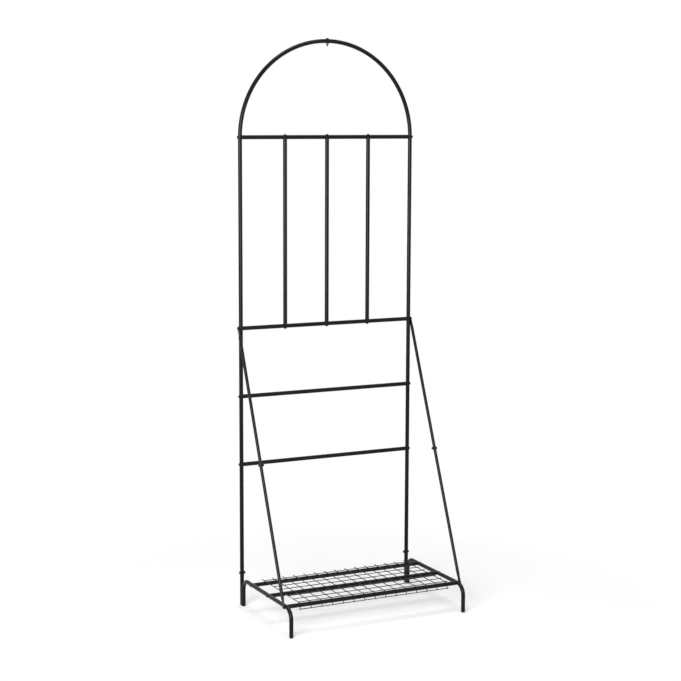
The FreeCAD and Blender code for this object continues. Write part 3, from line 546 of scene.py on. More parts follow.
def moulded_plastic(name):
    """Black moulded plastic: a fine spark-eroded grain, faint mottling, and a scuffed sole."""
    material, tree, shader, place = new_finish(name, Specular_IOR_Level=0.2, IOR=1.46)
    mottle = noise(tree, place, 160.0, 3.0, 0.6)
    base = blend_colours(tree, ramp(tree, mottle, 0.35, 0.65), grey(0.014), grey(0.024, 0.02))
    height = output_of(tree, "ShaderNodeSeparateXYZ", {"Vector": place}, "Z")
    scuffs = noise(tree, place, 700.0, 4.0, 0.7)
    low = ramp(tree, height, 0.0, 1.6 * MM, 1.0, 0.0)
    worn = ramp(tree, math_node(tree, "MULTIPLY", low, scuffs), 0.4, 0.6, 0.0, 0.6)
    base = blend_colours(tree, worn, base, grey(0.06, 0.04))
    rough = ramp(tree, mottle, 0.3, 0.7, 0.48, 0.6)
    surface(tree, shader, base, rough, 0.5, 0.04 * MM, noise(tree, place, 2600.0, 2.0, 0.6))
    return material


black_plastic = moulded_plastic("moulded_black_plastic")
plug_shape = turned_mesh("foot_plug", PLUG_ROWS, PLUG_SIDES)
foot_ys = {"front_foot_plugs": (FRONT_LEG_Y,), "rear_foot_plugs": (POST_Y, REAR_LEG_Y)}
for seed, (node, ys) in enumerate(foot_ys.items(), start=11):
    feet = [(Vector((sign * POST_X, y, 0)), UP) for sign in SIDES.values() for y in ys]
    set_on_points(f"{node}_moulded", plug_shape, feet, black_plastic, "foot_plastic", node, seed)


# ---------------------------------------------------------------------------------------------
# Shelf rails. Three straight coated tubes between the side frames, hollowed at their ends to sit
# round the side rails, with a zinc-plated threaded insert pressed into each end for its bolt.


def level_tube(node, across):
    """A coated tube between the two sides, in place of its node; gives back its middle."""
    middle = middle_of(node)
    reach = POST_X - NEIGHBOUR
    line = [Vector((x, middle.y, middle.z)) for x in (-reach, 0, reach)]
    coated_tube(node, tube_chains(line, across), BACK)
    return middle


rail_middles = {rail: level_tube(f"shelf_rail_{rail}", UP) for rail in ("rear", "middle", "front")}


def zinc_plating(name):
    """Zinc-plated steel: a grey metal with faint spangle and machining marks."""
    material, tree, shader, place = new_finish(name, Metallic=1.0)
    spangle = noise(tree, place, 380.0, 3.0, 0.6)
    base = blend_colours(tree, ramp(tree, spangle, 0.3, 0.7), (0.5, 0.51, 0.5, 1), (0.66, 0.66, 0.62, 1))
    rough = ramp(tree, spangle, 0.3, 0.7, 0.34, 0.5)
    surface(tree, shader, base, rough, 0.3, 0.03 * MM, noise(tree, place, 2400.0, 1.0, 0.5))
    return material


zinc_plated_steel = zinc_plating("zinc_plated_steel")
for node in ("rail_inserts", "crossbar_inserts", "trellis_inserts"):
    for material_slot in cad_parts[node].material_slots:
        material_slot.material = zinc_plated_steel


# ---------------------------------------------------------------------------------------------
# Shelf mesh. Fifteen cross wires lie on the rails and hook down over the front one; eight wires
# are welded along them, and a lip wire in front. Drawn steel wire, spot-welded, then coated black.

WIRE_RADIUS = 1.25 * MM
WIRE_SEAT = 0.05 * MM
WELD_DEPTH = 0.4 * MM
WIRE_SIDES = 12
WIRE_CREASE = math.radians(60)
COLUMNS = 15
ROWS = 8
OUTER_WIRE_X = 257 * MM
SIDE_STUB = 5 * MM
HOOK_RADIUS = TUBE_RADIUS + WIRE_SEAT + WIRE_RADIUS
HOOK_STEPS = 12
WIRE_LIFT = 2 * WIRE_RADIUS - WELD_DEPTH
REAR_RAIL_Y = rail_middles["rear"].y
FRONT_RAIL_Y = rail_middles["front"].y
TAIL_Y = REAR_RAIL_Y + 24 * MM
LIP_Z = SHELF_Z - 10 * MM
CROSS_END_Z = LIP_Z - 3 * MM
ROW_PITCH = (REAR_RAIL_Y - FRONT_RAIL_Y) / (ROWS - 1)
COLUMN_PITCH = 2 * OUTER_WIRE_X / (COLUMNS - 1)
NUGGET_SIZE = (1.45 * MM, 1.45 * MM, 0.75 * MM)

# A cut and coated wire end: distance in from the end, and share of the wire's radius
WIRE_TIP = [(0.0, 0.45), (0.12 * MM, 0.78), (0.35 * MM, 0.95), (0.7 * MM, 1.0), (1.6 * MM, 1.0)]

# How far off the jig lets things lie, at most: cross wires, their turn, long wires and weld nuggets
CROSS_PLAY = (0.25 * MM, 0.4 * MM, 0)
CROSS_TURN = (0, 0.0008, 0.0012)
ROW_PLAY = (0.4 * MM, 0.2 * MM, 0)
NUGGET_PLAY = (0.15 * MM, 0.15 * MM, 0)


def wire_object(name, line, flat_side):
    """A wire's line with its radius at each point, for the tree to sweep."""
    start, end = (line[1] - line[0]).normalized(), (line[-2] - line[-1]).normalized()
    chain = [path_point(line[0] + start * far, WIRE_RADIUS * share) for far, share in WIRE_TIP]
    chain += [path_point(place, WIRE_RADIUS) for place in line[1:-1]]
    chain += [path_point(line[-1] + end * far, WIRE_RADIUS * share) for far, share in reversed(WIRE_TIP)]
    return put_in_scene(name, path_mesh(name, [chain], flat_side))


hook_centre = Vector((0, FRONT_RAIL_Y, SHELF_Z))
cross_line = [Vector((0, TAIL_Y, SHELF_Z + HOOK_RADIUS))]
cross_line += arc(hook_centre, UP * HOOK_RADIUS, -BACK * HOOK_RADIUS, math.pi / 2, HOOK_STEPS)
cross_line += [Vector((0, FRONT_RAIL_Y - HOOK_RADIUS, CROSS_END_Z))]
wire_end = Vector((OUTER_WIRE_X + SIDE_STUB, 0, 0))
cross_wire = wire_object("cross_wire_line", cross_line, ACROSS)
row_wire = wire_object("row_wire_line", [-wire_end, wire_end * 0, wire_end], BACK)

panel_tree, panel_in, panel_out = new_tree(
    "welded_wire_panel", Start="Geometry", Cross="Object", Row="Object", Columns="Int", Column_pitch="Float",
    Rows="Int", Row_pitch="Float", Rear_y="Float", Row_z="Float", Lip_y="Float", Lip_z="Float",
    Weld="Vector", Sides="Int", Seed="Int", Coating="Material")


def swept_wire(wire):
    """One wire's skin, swept along its line."""
    line = output_of(panel_tree, "GeometryNodeObjectInfo", {"Object": wire}, "Geometry",
                     transform_space="ORIGINAL")
    return swept(panel_tree, line_along(panel_tree, line), panel_in["Sides"], read(panel_tree, "girth"),
                 capped=True)


def point_at(x=0.0, y=0.0, z=0.0):
    return output_of(panel_tree, "ShaderNodeCombineXYZ", {"X": x, "Y": y, "Z": z})


def line_of_points(count, start, step):
    return output_of(panel_tree, "GeometryNodeMeshLine",
                     {"Count": count, "Start Location": start, "Offset": step}, mode="OFFSET")


def play(reach, seed_step):
    """A small random vector for each point, as wires in a welding jig have."""
    seed = math_node(panel_tree, "ADD", panel_in["Seed"], seed_step)
    return output_of(panel_tree, "FunctionNodeRandomValue",
                     {"Min": tuple(-r for r in reach), "Max": reach, "Seed": seed}, data_type="FLOAT_VECTOR")


def shifted(points, offset):
    return output_of(panel_tree, "GeometryNodeSetPosition", {"Geometry": points, "Offset": offset})


def on_points(points, instance, scale=(1, 1, 1), rotation=(0, 0, 0)):
    return output_of(panel_tree, "GeometryNodeInstanceOnPoints",
                     {"Points": points, "Instance": instance, "Scale": scale, "Rotation": rotation})


half_columns = math_node(panel_tree, "MULTIPLY", panel_in["Column_pitch"], math_node(
    panel_tree, "DIVIDE", math_node(panel_tree, "SUBTRACT", panel_in["Columns"], 1.0), -2.0))
column_step = point_at(panel_in["Column_pitch"])
row_step = point_at(y=math_node(panel_tree, "MULTIPLY", panel_in["Row_pitch"], -1.0))
column_points = line_of_points(panel_in["Columns"], point_at(half_columns), column_step)
row_points = line_of_points(panel_in["Rows"], point_at(y=panel_in["Rear_y"], z=panel_in["Row_z"]), row_step)
lip_point = line_of_points(1, point_at(y=panel_in["Lip_y"], z=panel_in["Lip_z"]), column_step)
panel_parts = [
    on_points(shifted(column_points, play(CROSS_PLAY, 1.0)), swept_wire(panel_in["Cross"]),
              rotation=play(CROSS_TURN, 0.0)),
    on_points(shifted(row_points, play(ROW_PLAY, 2.0)), swept_wire(panel_in["Row"])),
    on_points(lip_point, swept_wire(panel_in["Row"])),
]
nugget = output_of(panel_tree, "GeometryNodeMeshUVSphere", {"Segments": 8, "Rings": 5, "Radius": 1.0})
nugget_share = output_of(panel_tree, "FunctionNodeRandomValue",
                         {2: 0.88, 3: 1.12, "Seed": panel_in["Seed"]}, 1, data_type="FLOAT")
nugget_scale = scaled(panel_tree, panel_in["Weld"], nugget_share)
weld_z = math_node(panel_tree, "SUBTRACT", panel_in["Row_z"], WIRE_LIFT / 2)
weld_row = line_of_points(panel_in["Columns"], point_at(half_columns), column_step)
weld_rows = line_of_points(panel_in["Rows"], point_at(y=panel_in["Rear_y"], z=weld_z), row_step)
weld_grid = output_of(panel_tree, "GeometryNodeRealizeInstances",
                      {"Geometry": on_points(weld_rows, weld_row)})
panel_parts.append(on_points(shifted(weld_grid, play(NUGGET_PLAY, 3.0)), nugget, nugget_scale))
lip_weld_y = math_node(panel_tree, "ADD", panel_in["Lip_y"], WIRE_LIFT / 2)
lip_start = point_at(half_columns, lip_weld_y, panel_in["Lip_z"])
lip_welds = line_of_points(panel_in["Columns"], lip_start, column_step)
panel_parts.append(on_points(lip_welds, nugget, nugget_scale, (math.pi / 2, 0, 0)))
panel = add_node(panel_tree, "GeometryNodeJoinGeometry")
for part in panel_parts:
    panel_tree.links.new(part, panel.inputs[0])
close_tree(panel_tree, panel.outputs[0], panel_out, panel_in["Coating"], WIRE_CREASE)

black_wire_coat = powder_coat("black_wire_coat", dark=0.0048, light=0.009, peel=0.5, satin=0.3)
shelf_wires = made_by(
    panel_tree, "shelf_mesh_wires", bpy.data.meshes.new("shelf_mesh_start"), Cross=cross_wire, Row=row_wire,
    Columns=COLUMNS, Column_pitch=COLUMN_PITCH, Rows=ROWS, Row_pitch=ROW_PITCH, Rear_y=REAR_RAIL_Y,
    Row_z=SHELF_Z + HOOK_RADIUS + WIRE_LIFT, Lip_y=FRONT_RAIL_Y - HOOK_RADIUS - WIRE_LIFT, Lip_z=LIP_Z,
    Weld=NUGGET_SIZE, Sides=WIRE_SIDES, Seed=5, Coating=black_wire_coat)
for wire in (cross_wire, row_wire):
    bpy.data.objects.remove(wire)
belongs(shelf_wires, "coated_wire", "shelf_mesh")


# ---------------------------------------------------------------------------------------------
# Lower posts. Two straight coated tubes that stand in the sockets of the side frames. Each has a
# narrower spigot fixed in both ends, one for the socket and one for the arch post above.

SPIGOT_RADIUS = TUBE_BORE - 0.1 * MM
SPIGOT_BORE = SPIGOT_RADIUS - 1.0 * MM
SPIGOT_RUB = 0.3
NECK = 4 * MM
NECK_TAPER = 1 * MM
SPIGOT_FOOT = 82 * MM
POST_FOOT = SOCKET_TOP + JOINT_GAP
POST_SEAM = 877 * MM
SPIGOT_HEAD = 917 * MM
SPIGOT_LIP = [(0.0, 1.0 * MM), (0.02 * MM, 0.5 * MM), (0.5 * MM, 0.0), (1.0 * MM, 0.0)]


def post_end(tip, shoulder, way):
    """Outer skin and bore of a post's end, from its spigot's tip inwards: (height, radius, rub)."""
    skin = [(tip + way * far, SPIGOT_RADIUS - less, SPIGOT_RUB) for far, less in SPIGOT_LIP]
    skin += [(shoulder, SPIGOT_RADIUS, 1.0)]
    skin += [(shoulder + way * far, TUBE_RADIUS - less, 1.0) for far, less in END_LIP[1:]]
    skin += [(shoulder + way * far, TUBE_RADIUS, rub) for far, rub in END_RUB[1:]]
    bore = [(tip, SPIGOT_BORE, 0), (shoulder + way * NECK, SPIGOT_BORE, 0),
            (shoulder + way * (NECK + NECK_TAPER), TUBE_BORE, 0)]
    return skin, bore


for side, sign in SIDES.items():
    chains = []
    ends = zip(post_end(SPIGOT_FOOT, POST_FOOT, 1), post_end(SPIGOT_HEAD, POST_SEAM, -1))
    for inside, (foot, head) in enumerate(ends):
        chains.append([path_point(Vector((sign * POST_X, POST_Y, z)), radius, inside, rub)
                       for z, radius, rub in foot + head[::-1]])
    coated_tube(f"lower_post_{side}", chains, BACK)


# ---------------------------------------------------------------------------------------------
# Crossbars. Four straight coated tubes between the posts, made like the shelf rails: two plain
# ones, one where the trellis bars stand, and one under the arch where they end.

crossbar_middles = {
    name: level_tube(f"{name}_crossbar", BACK) for name in ("lower", "upper", "trellis", "top")}
TRELLIS_FOOT_Z = crossbar_middles["trellis"].z
ARCH_Z = crossbar_middles["top"].z


# ---------------------------------------------------------------------------------------------
# Trellis bars. Three upright coated tubes between the trellis crossbar and the top crossbar, their
# ends hollowed to sit on the crossbars and drawn up by a bolt from each side.

trellis_xs = {name: middle_of(f"trellis_bar_{name}").x for name in ("left", "centre", "right")}
bar_foot, bar_head = TRELLIS_FOOT_Z + NEIGHBOUR, ARCH_Z - NEIGHBOUR
for name, x in trellis_xs.items():
    bar_line = [Vector((x, POST_Y, z)) for z in (bar_foot, (bar_foot + bar_head) / 2, bar_head)]
    coated_tube(f"trellis_bar_{name}", tube_chains(bar_line, BACK), ACROSS)


# ---------------------------------------------------------------------------------------------
# Arch posts. Two coated tubes, straight up from the post joint to the top crossbar and then bent
# into half the arch each. The left one is pushed over a spigot in the right one at the crown.

ARCH_STEPS = 72
SPIGOT_STEPS = 8
CROWN_LAP = 20 * MM
CROWN_SHOULDER = CROWN_LAP + JOINT_GAP
ARCH_FOOT = POST_SEAM + JOINT_GAP
# The width, as angles on the arch, of the step at the right tube's shoulder and at its spigot's tip
SHOULDER_STEP = 0.0001
TIP_STEP = 0.0004


def from_crown(length):
    """The angle that a level distance from the crown takes up on the arch."""
    return math.asin(length / POST_X)


def on_arch(sign, angle):
    """A point on the arch's line, at an angle up from the springing on one side."""
    centre = Vector((0, POST_Y, ARCH_Z))
    return centre + ACROSS * (sign * POST_X * math.cos(angle)) + UP * (POST_X * math.sin(angle))


def along_arch(sign, start, end, steps):
    return [on_arch(sign, start + (end - start) * step / steps) for step in range(steps + 1)]


def arch_line(sign, sweep):
    """An arch post's line: straight up from its foot, and then round the arch."""
    return [Vector((sign * POST_X, POST_Y, ARCH_FOOT))] + along_arch(sign, 0.0, sweep, ARCH_STEPS)


coated_tube("arch_post_left", tube_chains(arch_line(-1, math.pi / 2 + from_crown(CROWN_LAP))), BACK)

shoulder = math.pi / 2 - from_crown(CROWN_SHOULDER)
neck = math.pi / 2 - from_crown(CROWN_SHOULDER + NECK)
spigot_end = math.pi / 2 + from_crown(CROWN_LAP)
spigot_tip = on_arch(1, spigot_end + TIP_STEP)
right_line = arch_line(1, shoulder)
right_outer = tube_chains(right_line)[0][:-1]
right_outer.append(path_point(on_arch(1, shoulder + SHOULDER_STEP), SPIGOT_RADIUS, 0, 0.5))
right_outer += [path_point(place, SPIGOT_RADIUS, 0, SPIGOT_RUB)
                for place in along_arch(1, shoulder, spigot_end, SPIGOT_STEPS)[1:]]
right_outer.append(path_point(spigot_tip, SPIGOT_BORE, 0, SPIGOT_RUB))
right_bore = [path_point(right_line[0], TUBE_BORE, 1, 1)]
right_bore += [path_point(place, TUBE_BORE, 1) for place in along_arch(1, 0.0, neck, ARCH_STEPS)]
right_bore += [path_point(place, SPIGOT_BORE, 1)
               for place in along_arch(1, neck, spigot_end, SPIGOT_STEPS)[1:]]
right_bore.append(path_point(spigot_tip, SPIGOT_BORE, 1))
coated_tube("arch_post_right", [right_outer, right_bore], BACK)


# ---------------------------------------------------------------------------------------------
# Diagonal braces. Thin coated tubes from the trellis joint down to the front of the shelf, one on
# each side, in two halves that plug together. Their outer ends are pressed flat round a bolt hole.

BRACE_RADIUS = 5 * MM
BRACE_BORE = 4 * MM
BRACE_SIDES = 36
BRACE_LAP = 15 * MM
BRACE_SPIGOT = BRACE_BORE - 0.1 * MM
BRACE_SPIGOT_BORE = BRACE_SPIGOT - 1 * MM
BRACE_SPIGOT_LIP = 0.5 * MM
TAB_HALF_WIDTH = 6.5 * MM
TAB_HALF_THICKNESS = 1.3 * MM
TAB_LENGTH = 16 * MM
TAB_SQUARENESS = 7.0
TAB_EDGE_SHARE = 0.75
TAB_GAP = 0.1 * MM
TAPER_LENGTH = 16 * MM
TAPER_END = TAB_LENGTH + TAPER_LENGTH
TAPER_STEPS = 14
TIP_STEPS = 9
PLAIN_RUN = 4 * MM
ROUND = 2.0
TIP_RUB, TAB_RUB, TAPER_RUB, BORE_RUB = 0.7, 0.3, 0.25, 0.2

brace_head = Vector((0, POST_Y, TRELLIS_FOOT_Z))
brace_foot = Vector((0, FRONT_RAIL_Y, SHELF_Z))
brace_length = (brace_head - brace_foot).length


def ease(share):
    return share * share * (3 - 2 * share)


def brace_rings(tube_end, has_spigot):
    """Distance, half thickness, half width, squareness and rub of each ring, from the pressed tip on."""
    rings = []
    for step in range(1, TIP_STEPS + 1):
        angle = math.pi / 2 * step / TIP_STEPS
        thin = TAB_HALF_THICKNESS * (TAB_EDGE_SHARE if step == 1 else 1)
        wide = TAB_HALF_WIDTH * math.sin(angle)
        rings.append((-TAB_HALF_WIDTH * math.cos(angle), thin, wide, TAB_SQUARENESS, TIP_RUB))
    rings.append((TAB_LENGTH * 0.6, TAB_HALF_THICKNESS, TAB_HALF_WIDTH, TAB_SQUARENESS, TAB_RUB))
    for step in range(TAPER_STEPS + 1):
        share = step / TAPER_STEPS
        thick = TAB_HALF_THICKNESS + (BRACE_RADIUS - TAB_HALF_THICKNESS) * ease(share)
        wide = TAB_HALF_WIDTH + (BRACE_RADIUS - TAB_HALF_WIDTH) * ease(share)
        squareness = TAB_SQUARENESS - (TAB_SQUARENESS - ROUND) * ease(share) ** 0.5
        rings.append((TAB_LENGTH + TAPER_LENGTH * share, thick, wide, squareness, TAPER_RUB))
    # From here on the rings are round: distance, radius and rub, down the outside and back up the bore
    rows = [(TAPER_END + PLAIN_RUN, BRACE_RADIUS, 0.0)]
    rows += [(tube_end - far, BRACE_RADIUS, rub) for far, rub in reversed(END_RUB[1:])]
    rows += [(tube_end - far, BRACE_RADIUS - less, 1.0) for far, less in reversed(END_LIP[1:])]
    inside = [(tube_end, BRACE_BORE)]
    if has_spigot:
        spigot_end = brace_length / 2 + BRACE_LAP
        inside = [(tube_end, BRACE_SPIGOT), (spigot_end - BRACE_SPIGOT_LIP, BRACE_SPIGOT),
                  (spigot_end, BRACE_SPIGOT - BRACE_SPIGOT_LIP), (spigot_end, BRACE_SPIGOT_BORE),
                  (tube_end - NECK, BRACE_SPIGOT_BORE), (tube_end - NECK - NECK_TAPER, BRACE_BORE)]
    rows += [(far, radius, BORE_RUB) for far, radius in inside + [(TAPER_END, BRACE_BORE)]]
    return rings + [(far, radius, radius, ROUND, rub) for far, radius, rub in rows]


def finish_shading(mesh, crease):
    """Outward faces, smooth but for a crisp edge at each sharp turn."""
    shell = bmesh.new()
    shell.from_mesh(mesh)
    bmesh.ops.recalc_face_normals(shell, faces=shell.faces)
    for face in shell.faces:
        face.smooth = True
    for edge in shell.edges:
        edge.smooth = len(edge.link_faces) == 2 and edge.calc_face_angle() < crease
    shell.to_mesh(mesh)
    shell.free()


def brace_half(node, origin, along_way, tube_end, has_spigot):
    """Half a brace in place of its node. Each ring is an ellipse, or squarer the higher its squareness."""
    wide_way = along_way.cross(ACROSS).normalized()
    rings = brace_rings(tube_end, has_spigot)
    turns = [2 * math.pi * step / BRACE_SIDES for step in range(BRACE_SIDES)]
    places = []
    for far, half_thickness, half_width, squareness, rub in rings:
        for c, s in ((math.cos(turn), math.sin(turn)) for turn in turns):
            thick = math.copysign(abs(c) ** (2 / squareness), c) * half_thickness
            wide = math.copysign(abs(s) ** (2 / squareness), s) * half_width
            places.append(origin + along_way * far + ACROSS * thick + wide_way * wide)
    faces = [tuple(range(BRACE_SIDES))]
    for start in range(0, len(places) - BRACE_SIDES, BRACE_SIDES):
        for step in range(BRACE_SIDES):
            a, b = start + step, start + (step + 1) % BRACE_SIDES
            faces.append((a, a + BRACE_SIDES, b + BRACE_SIDES, b))
    faces.append(tuple(reversed(range(len(places) - BRACE_SIDES, len(places)))))
    mesh = bpy.data.meshes.new(f"{node}_pressed")
    mesh.from_pydata(places, [], faces)
    mesh.attributes.new("rub", "FLOAT", "POINT").data.foreach_set(
        "value", [ring[-1] for ring in rings for turn in turns])
    mesh.materials.append(black_powder_coat)
    finish_shading(mesh, TUBE_CREASE)
    belongs(put_in_scene(f"{node}_pressed", mesh), "coated_tube", node)


for side, sign in SIDES.items():
    shift = ACROSS * (sign * (POST_X + TUBE_RADIUS + TAB_GAP + TAB_HALF_THICKNESS))
    down = (brace_foot - brace_head).normalized()
    upper_end = brace_length / 2 + BRACE_LAP
    lower_end = brace_length / 2 - BRACE_LAP - JOINT_GAP
    brace_half(f"brace_upper_{side}", brace_head + shift, down, upper_end, has_spigot=False)
    brace_half(f"brace_lower_{side}", brace_foot + shift, -down, lower_end, has_spigot=True)


# ---------------------------------------------------------------------------------------------
# Bolts and nuts. Blackened steel button-head bolts with a hexagon socket: into the inserts from
# outside each joint, and right through with a nut at the sockets, the brace joints and the crown.

FASTENER_SIDES = 36
SEAT_GAP = 0.05 * MM
TUBE_SEAT = TUBE_RADIUS + SEAT_GAP
HEAD_RADIUS = 4.75 * MM
HEAD_HEIGHT = 2.8 * MM
HEAD_WALL = 0.7 * MM
HEAD_TOP_RADIUS = 2.25 * MM
HEAD_STEPS = 8
KEY_WIDTH = 3 * MM
KEY_FLOOR = 1.3 * MM
KEY_MOUTH = 0.35 * MM
SHANK_RADIUS = 2.5 * MM
SHANK_BEVEL = 0.6 * MM
CORE_BEVEL = 0.3 * MM
THREAD_CORE = 2.1 * MM
THREAD_PITCH = 0.8 * MM
NUT_WIDTH = 8 * MM
NUT_HEIGHT = 4 * MM
NUT_FACE_RADIUS = 3.85 * MM
NUT_BORE = 2.55 * MM
NUT_BEVEL = 0.35 * MM
NUT_SLOPE = math.tan(math.radians(30))
BRACE_STAND_OFF = TAB_GAP + 2 * TAB_HALF_THICKNESS
INSERT_REACH = 13 * MM
SHORT_SHANK = 2 * TUBE_RADIUS + INSERT_REACH
NUT_TAIL = 1.5 * MM
CROWN_TAIL = 6 * MM
THREAD_IN_NUT = 0.5 * MM
NUT_GRIP = 2 * SEAT_GAP + NUT_HEIGHT
SOCKET_BOLT_Z = SOCKET_TOP - 11 * MM


def bolt_mesh(name, shank, thread=0.0):
    """A button-head bolt, its seat at z = 0 and its shank down; the last length of it is thread core."""
    rows = [(0.0, -shank), (THREAD_CORE - CORE_BEVEL, -shank)]
    if thread:
        rows += [(THREAD_CORE, -shank + CORE_BEVEL), (THREAD_CORE, -shank + thread),
                 (SHANK_RADIUS, -shank + thread)]
    else:
        rows += [(SHANK_RADIUS, -shank + SHANK_BEVEL)]
    rows += [(SHANK_RADIUS, 0.0), (HEAD_RADIUS - 0.12 * MM, 0.0), (HEAD_RADIUS, 0.1 * MM)]
    for step in range(HEAD_STEPS + 1):
        angle = math.pi / 2 * step / HEAD_STEPS
        rows.append((HEAD_TOP_RADIUS + (HEAD_RADIUS - HEAD_TOP_RADIUS) * math.cos(angle),
                     HEAD_WALL + (HEAD_HEIGHT - HEAD_WALL) * math.sin(angle)))
    for width, height in ((KEY_WIDTH + KEY_MOUTH, HEAD_HEIGHT), (KEY_WIDTH, HEAD_HEIGHT - 0.18 * MM),
                          (KEY_WIDTH, KEY_FLOOR + 0.1 * MM), (KEY_WIDTH - 0.3 * MM, KEY_FLOOR)):
        rows.append((width, height, 0.0, 0.0))
    rows.append((0.0, KEY_FLOOR - 0.25 * MM))
    return turned_mesh(name, rows, FASTENER_SIDES)


def nut_mesh(name):
    """A hexagon nut from z = 0 up, its corners cut back by a cone at both faces."""
    rows = [
        (NUT_BORE, NUT_BEVEL), (NUT_BORE + NUT_BEVEL, 0.0), (NUT_FACE_RADIUS, 0.0),
        (NUT_WIDTH, 0.0, NUT_SLOPE, NUT_FACE_RADIUS), (NUT_WIDTH, NUT_HEIGHT, -NUT_SLOPE, NUT_FACE_RADIUS),
        (NUT_FACE_RADIUS, NUT_HEIGHT), (NUT_BORE + NUT_BEVEL, NUT_HEIGHT), (NUT_BORE, NUT_HEIGHT - NUT_BEVEL),
        (NUT_BORE, NUT_BEVEL),
    ]
    return turned_mesh(name, rows, FASTENER_SIDES)


def blackened_steel(name):
    """Black-zinc steel: dark metal with a faint bloom and bright rubs where a key has turned."""
    material, tree, shader, place = new_finish(name, Metallic=0.85, Specular_IOR_Level=0.4)
    bloom = noise(tree, place, 260.0, 3.0, 0.6)
    base = blend_colours(tree, ramp(tree, bloom, 0.32, 0.68), grey(0.022), grey(0.05, 0.03))
    scratches = noise(tree, place, 1500.0, 4.0, 0.8)
    base = blend_colours(tree, ramp(tree, scratches, 0.66, 0.8, 0.0, 0.6), base, grey(0.14, 0.02))
    rough = ramp(tree, bloom, 0.3, 0.7, 0.3, 0.44)
    surface(tree, shader, base, rough, 0.35, 0.03 * MM, noise(tree, place, 2200.0, 2.0, 0.6))
    return material


black_steel = blackened_steel("blackened_steel")


def fasten(node, shape, seats, seed, **thread):
    """Black fasteners on their seats, in place of their node."""
    set_on_points(f"{node}_black", shape, seats, black_steel, "bolt_steel", node, seed, **thread)


def outer_seats(y, z, stand_off=0.0):
    """Bolt seats on the outer sides of the posts or side frames."""
    reach = POST_X + TUBE_SEAT + stand_off
    return [(Vector((sign * reach, y, z)), ACROSS * sign) for sign in SIDES.values()]


def through_bolts(node, tail, thickness, seats, seed):
    """Bolts right through a tube, with real thread on the tail past the nut, and their nuts."""
    shank = thickness + NUT_GRIP + tail
    thread = tail + THREAD_IN_NUT
    turns = (thread - THREAD_PITCH) / THREAD_PITCH
    fasten(node, bolt_mesh(f"{node}_shape", shank, thread), seats, seed, Turns=turns, Pitch=THREAD_PITCH,
           Core=THREAD_CORE, Start=-shank + THREAD_PITCH / 2)
    nut_seats = [(place - aim * (thickness + 2 * SEAT_GAP), -aim) for place, aim in seats]
    nuts = node.replace("bolt", "nut")
    fasten(nuts, nut_mesh(f"{nuts}_shape"), nut_seats, seed + 10)


short_bolt = bolt_mesh("short_bolt", SHORT_SHANK)
crossbar_seats = [seat for name in ("top", "upper", "lower")
                  for seat in outer_seats(POST_Y, crossbar_middles[name].z)]
fasten("crossbar_bolts", short_bolt, crossbar_seats, 21)
rail_seats = [seat for name in ("rear", "middle") for seat in outer_seats(rail_middles[name].y, SHELF_Z)]
fasten("shelf_rail_bolts", short_bolt, rail_seats, 22)
trellis_seats = []
for x in trellis_xs.values():
    trellis_seats.append((Vector((x, POST_Y, ARCH_Z + TUBE_SEAT)), UP))
    trellis_seats.append((Vector((x, POST_Y, TRELLIS_FOOT_Z - TUBE_SEAT)), -UP))
fasten("trellis_bolts", short_bolt, trellis_seats, 23)

long_bolt = bolt_mesh("long_bolt", SHORT_SHANK + BRACE_STAND_OFF)
fasten("brace_head_bolts", long_bolt, outer_seats(POST_Y, TRELLIS_FOOT_Z, BRACE_STAND_OFF), 24)
fasten("brace_foot_bolts", long_bolt, outer_seats(FRONT_RAIL_Y, SHELF_Z, BRACE_STAND_OFF), 25)

through_bolts("socket_bolts", NUT_TAIL, 2 * TUBE_RADIUS, outer_seats(POST_Y, SOCKET_BOLT_Z), 31)
joint = (brace_head + brace_foot) / 2
joint_seats = outer_seats(joint.y, joint.z, TAB_GAP + TAB_HALF_THICKNESS + BRACE_RADIUS)
through_bolts("brace_joint_bolts", NUT_TAIL, 2 * BRACE_RADIUS, joint_seats, 32)
through_bolts("crown_bolt", CROWN_TAIL, 2 * TUBE_RADIUS, [(on_arch(1, math.pi / 2) + UP * TUBE_SEAT, UP)], 33)


# ---------------------------------------------------------------------------------------------
# Studio. A pale floor that fades into a white surround, a broad soft lamp at the front left, a
# second one overhead, and the camera where the photograph was taken from.

FLOOR_RADIUS = 3.2
FLOOR_SIDES = 96
FLOOR_COLOUR = (0.94, 0.94, 0.94, 1)
FLOOR_LIFT = 0.18
FLOOR_SOLID = 0.42
FLOOR_GONE = 1.05
SURROUND_LIGHT = 0.25


def ray_seen(tree):
    """1 for what the camera sees, also mirrored or through a piece, and 0 for light on the rack."""
    ray = add_node(tree, "ShaderNodeLightPath").outputs
    return math_node(tree, "MAXIMUM", ray["Is Camera Ray"], math_node(
        tree, "MAXIMUM", ray["Is Glossy Ray"], ray["Is Transmission Ray"]))


floor_mesh = bpy.data.meshes.new("floor")
rim = [(FLOOR_RADIUS * math.cos(2 * math.pi * step / FLOOR_SIDES),
        FLOOR_RADIUS * math.sin(2 * math.pi * step / FLOOR_SIDES), 0) for step in range(FLOOR_SIDES)]
floor_mesh.from_pydata(rim, [], [tuple(range(FLOOR_SIDES))])
floor = put_in_scene("floor", floor_mesh)
floor_finish, floor_tree, floor_shader, floor_place = new_finish(
    "pale_floor", Specular_IOR_Level=0.0, Roughness=1.0, Base_Color=FLOOR_COLOUR)
distance = vector_math(floor_tree, "LENGTH", floor_place, which=1)
fade = ramp(floor_tree, distance, FLOOR_SOLID, FLOOR_GONE)
clear = output_of(floor_tree, "ShaderNodeBsdfTransparent")
lift = output_of(floor_tree, "ShaderNodeEmission",
                 {"Strength": math_node(floor_tree, "MULTIPLY", ray_seen(floor_tree), FLOOR_LIFT)})
floor_lit = output_of(floor_tree, "ShaderNodeAddShader", {0: floor_shader.outputs[0], 1: lift})
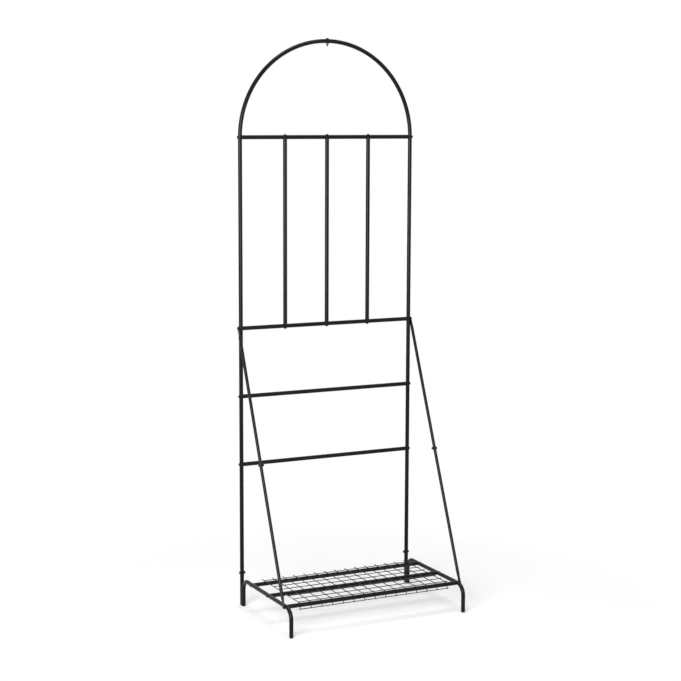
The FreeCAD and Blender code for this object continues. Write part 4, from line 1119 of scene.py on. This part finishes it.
floor_mix = output_of(floor_tree, "ShaderNodeMixShader", {0: fade, 1: floor_lit, 2: clear})
floor_tree.links.new(floor_mix, floor_tree.nodes["Material Output"].inputs["Surface"])
floor_mesh.materials.append(floor_finish)

world = bpy.data.worlds.new("white_surround")
bpy.context.scene.world = world
world.use_nodes = True
world_tree = world.node_tree
world_tree.nodes.clear()
surround = output_of(world_tree, "ShaderNodeBackground", {
    "Color": (1, 1, 1, 1), "Strength": ramp(world_tree, ray_seen(world_tree), 0.0, 1.0, SURROUND_LIGHT, 1.0)})
add_node(world_tree, "ShaderNodeOutputWorld", {"Surface": surround})


def soft_lamp(name, place, target, power, size):
    lamp = bpy.data.lights.new(name, "AREA")
    lamp.energy = power
    lamp.size = size
    holder = put_in_scene(name, lamp)
    holder.location = place
    holder.rotation_euler = (Vector(target) - Vector(place)).to_track_quat("-Z", "Y").to_euler()
    holder.visible_camera = False


soft_lamp("front_lamp", place=(-2.18, -2.15, 1.55), target=(0, 0.19, 1.5), power=112, size=1.8)
soft_lamp("top_lamp", place=(0, 0, 5.0), target=(0, 0, 0), power=98, size=2.4)

CAMERA_PLACE = (-2.3118, -4.5494, 1.5631)
CAMERA_YAW = math.radians(26.497)
CAMERA_PITCH = math.radians(-7.795)
CAMERA_ROLL = math.radians(0.200)
PHOTO_FOCAL_PIXELS = 1648.0
PHOTO_WIDTH = 681
SENSOR_WIDTH = 36.0

forward = Vector((math.sin(CAMERA_YAW) * math.cos(CAMERA_PITCH),
                  math.cos(CAMERA_YAW) * math.cos(CAMERA_PITCH), math.sin(CAMERA_PITCH)))
level_right = forward.cross(UP).normalized()
level_up = level_right.cross(forward)
camera_right = level_right * math.cos(CAMERA_ROLL) + level_up * math.sin(CAMERA_ROLL)
camera_up = level_up * math.cos(CAMERA_ROLL) - level_right * math.sin(CAMERA_ROLL)
camera_data = bpy.data.cameras.new("photo_camera")
camera_data.sensor_width = SENSOR_WIDTH
camera_data.lens = PHOTO_FOCAL_PIXELS / PHOTO_WIDTH * SENSOR_WIDTH
camera = put_in_scene("photo_camera", camera_data)
turn = Matrix((camera_right, camera_up, -forward)).transposed()
camera.matrix_world = Matrix.Translation(CAMERA_PLACE) @ turn.to_4x4()
bpy.context.scene.camera = camera

bpy.context.scene.view_settings.view_transform = "Standard"
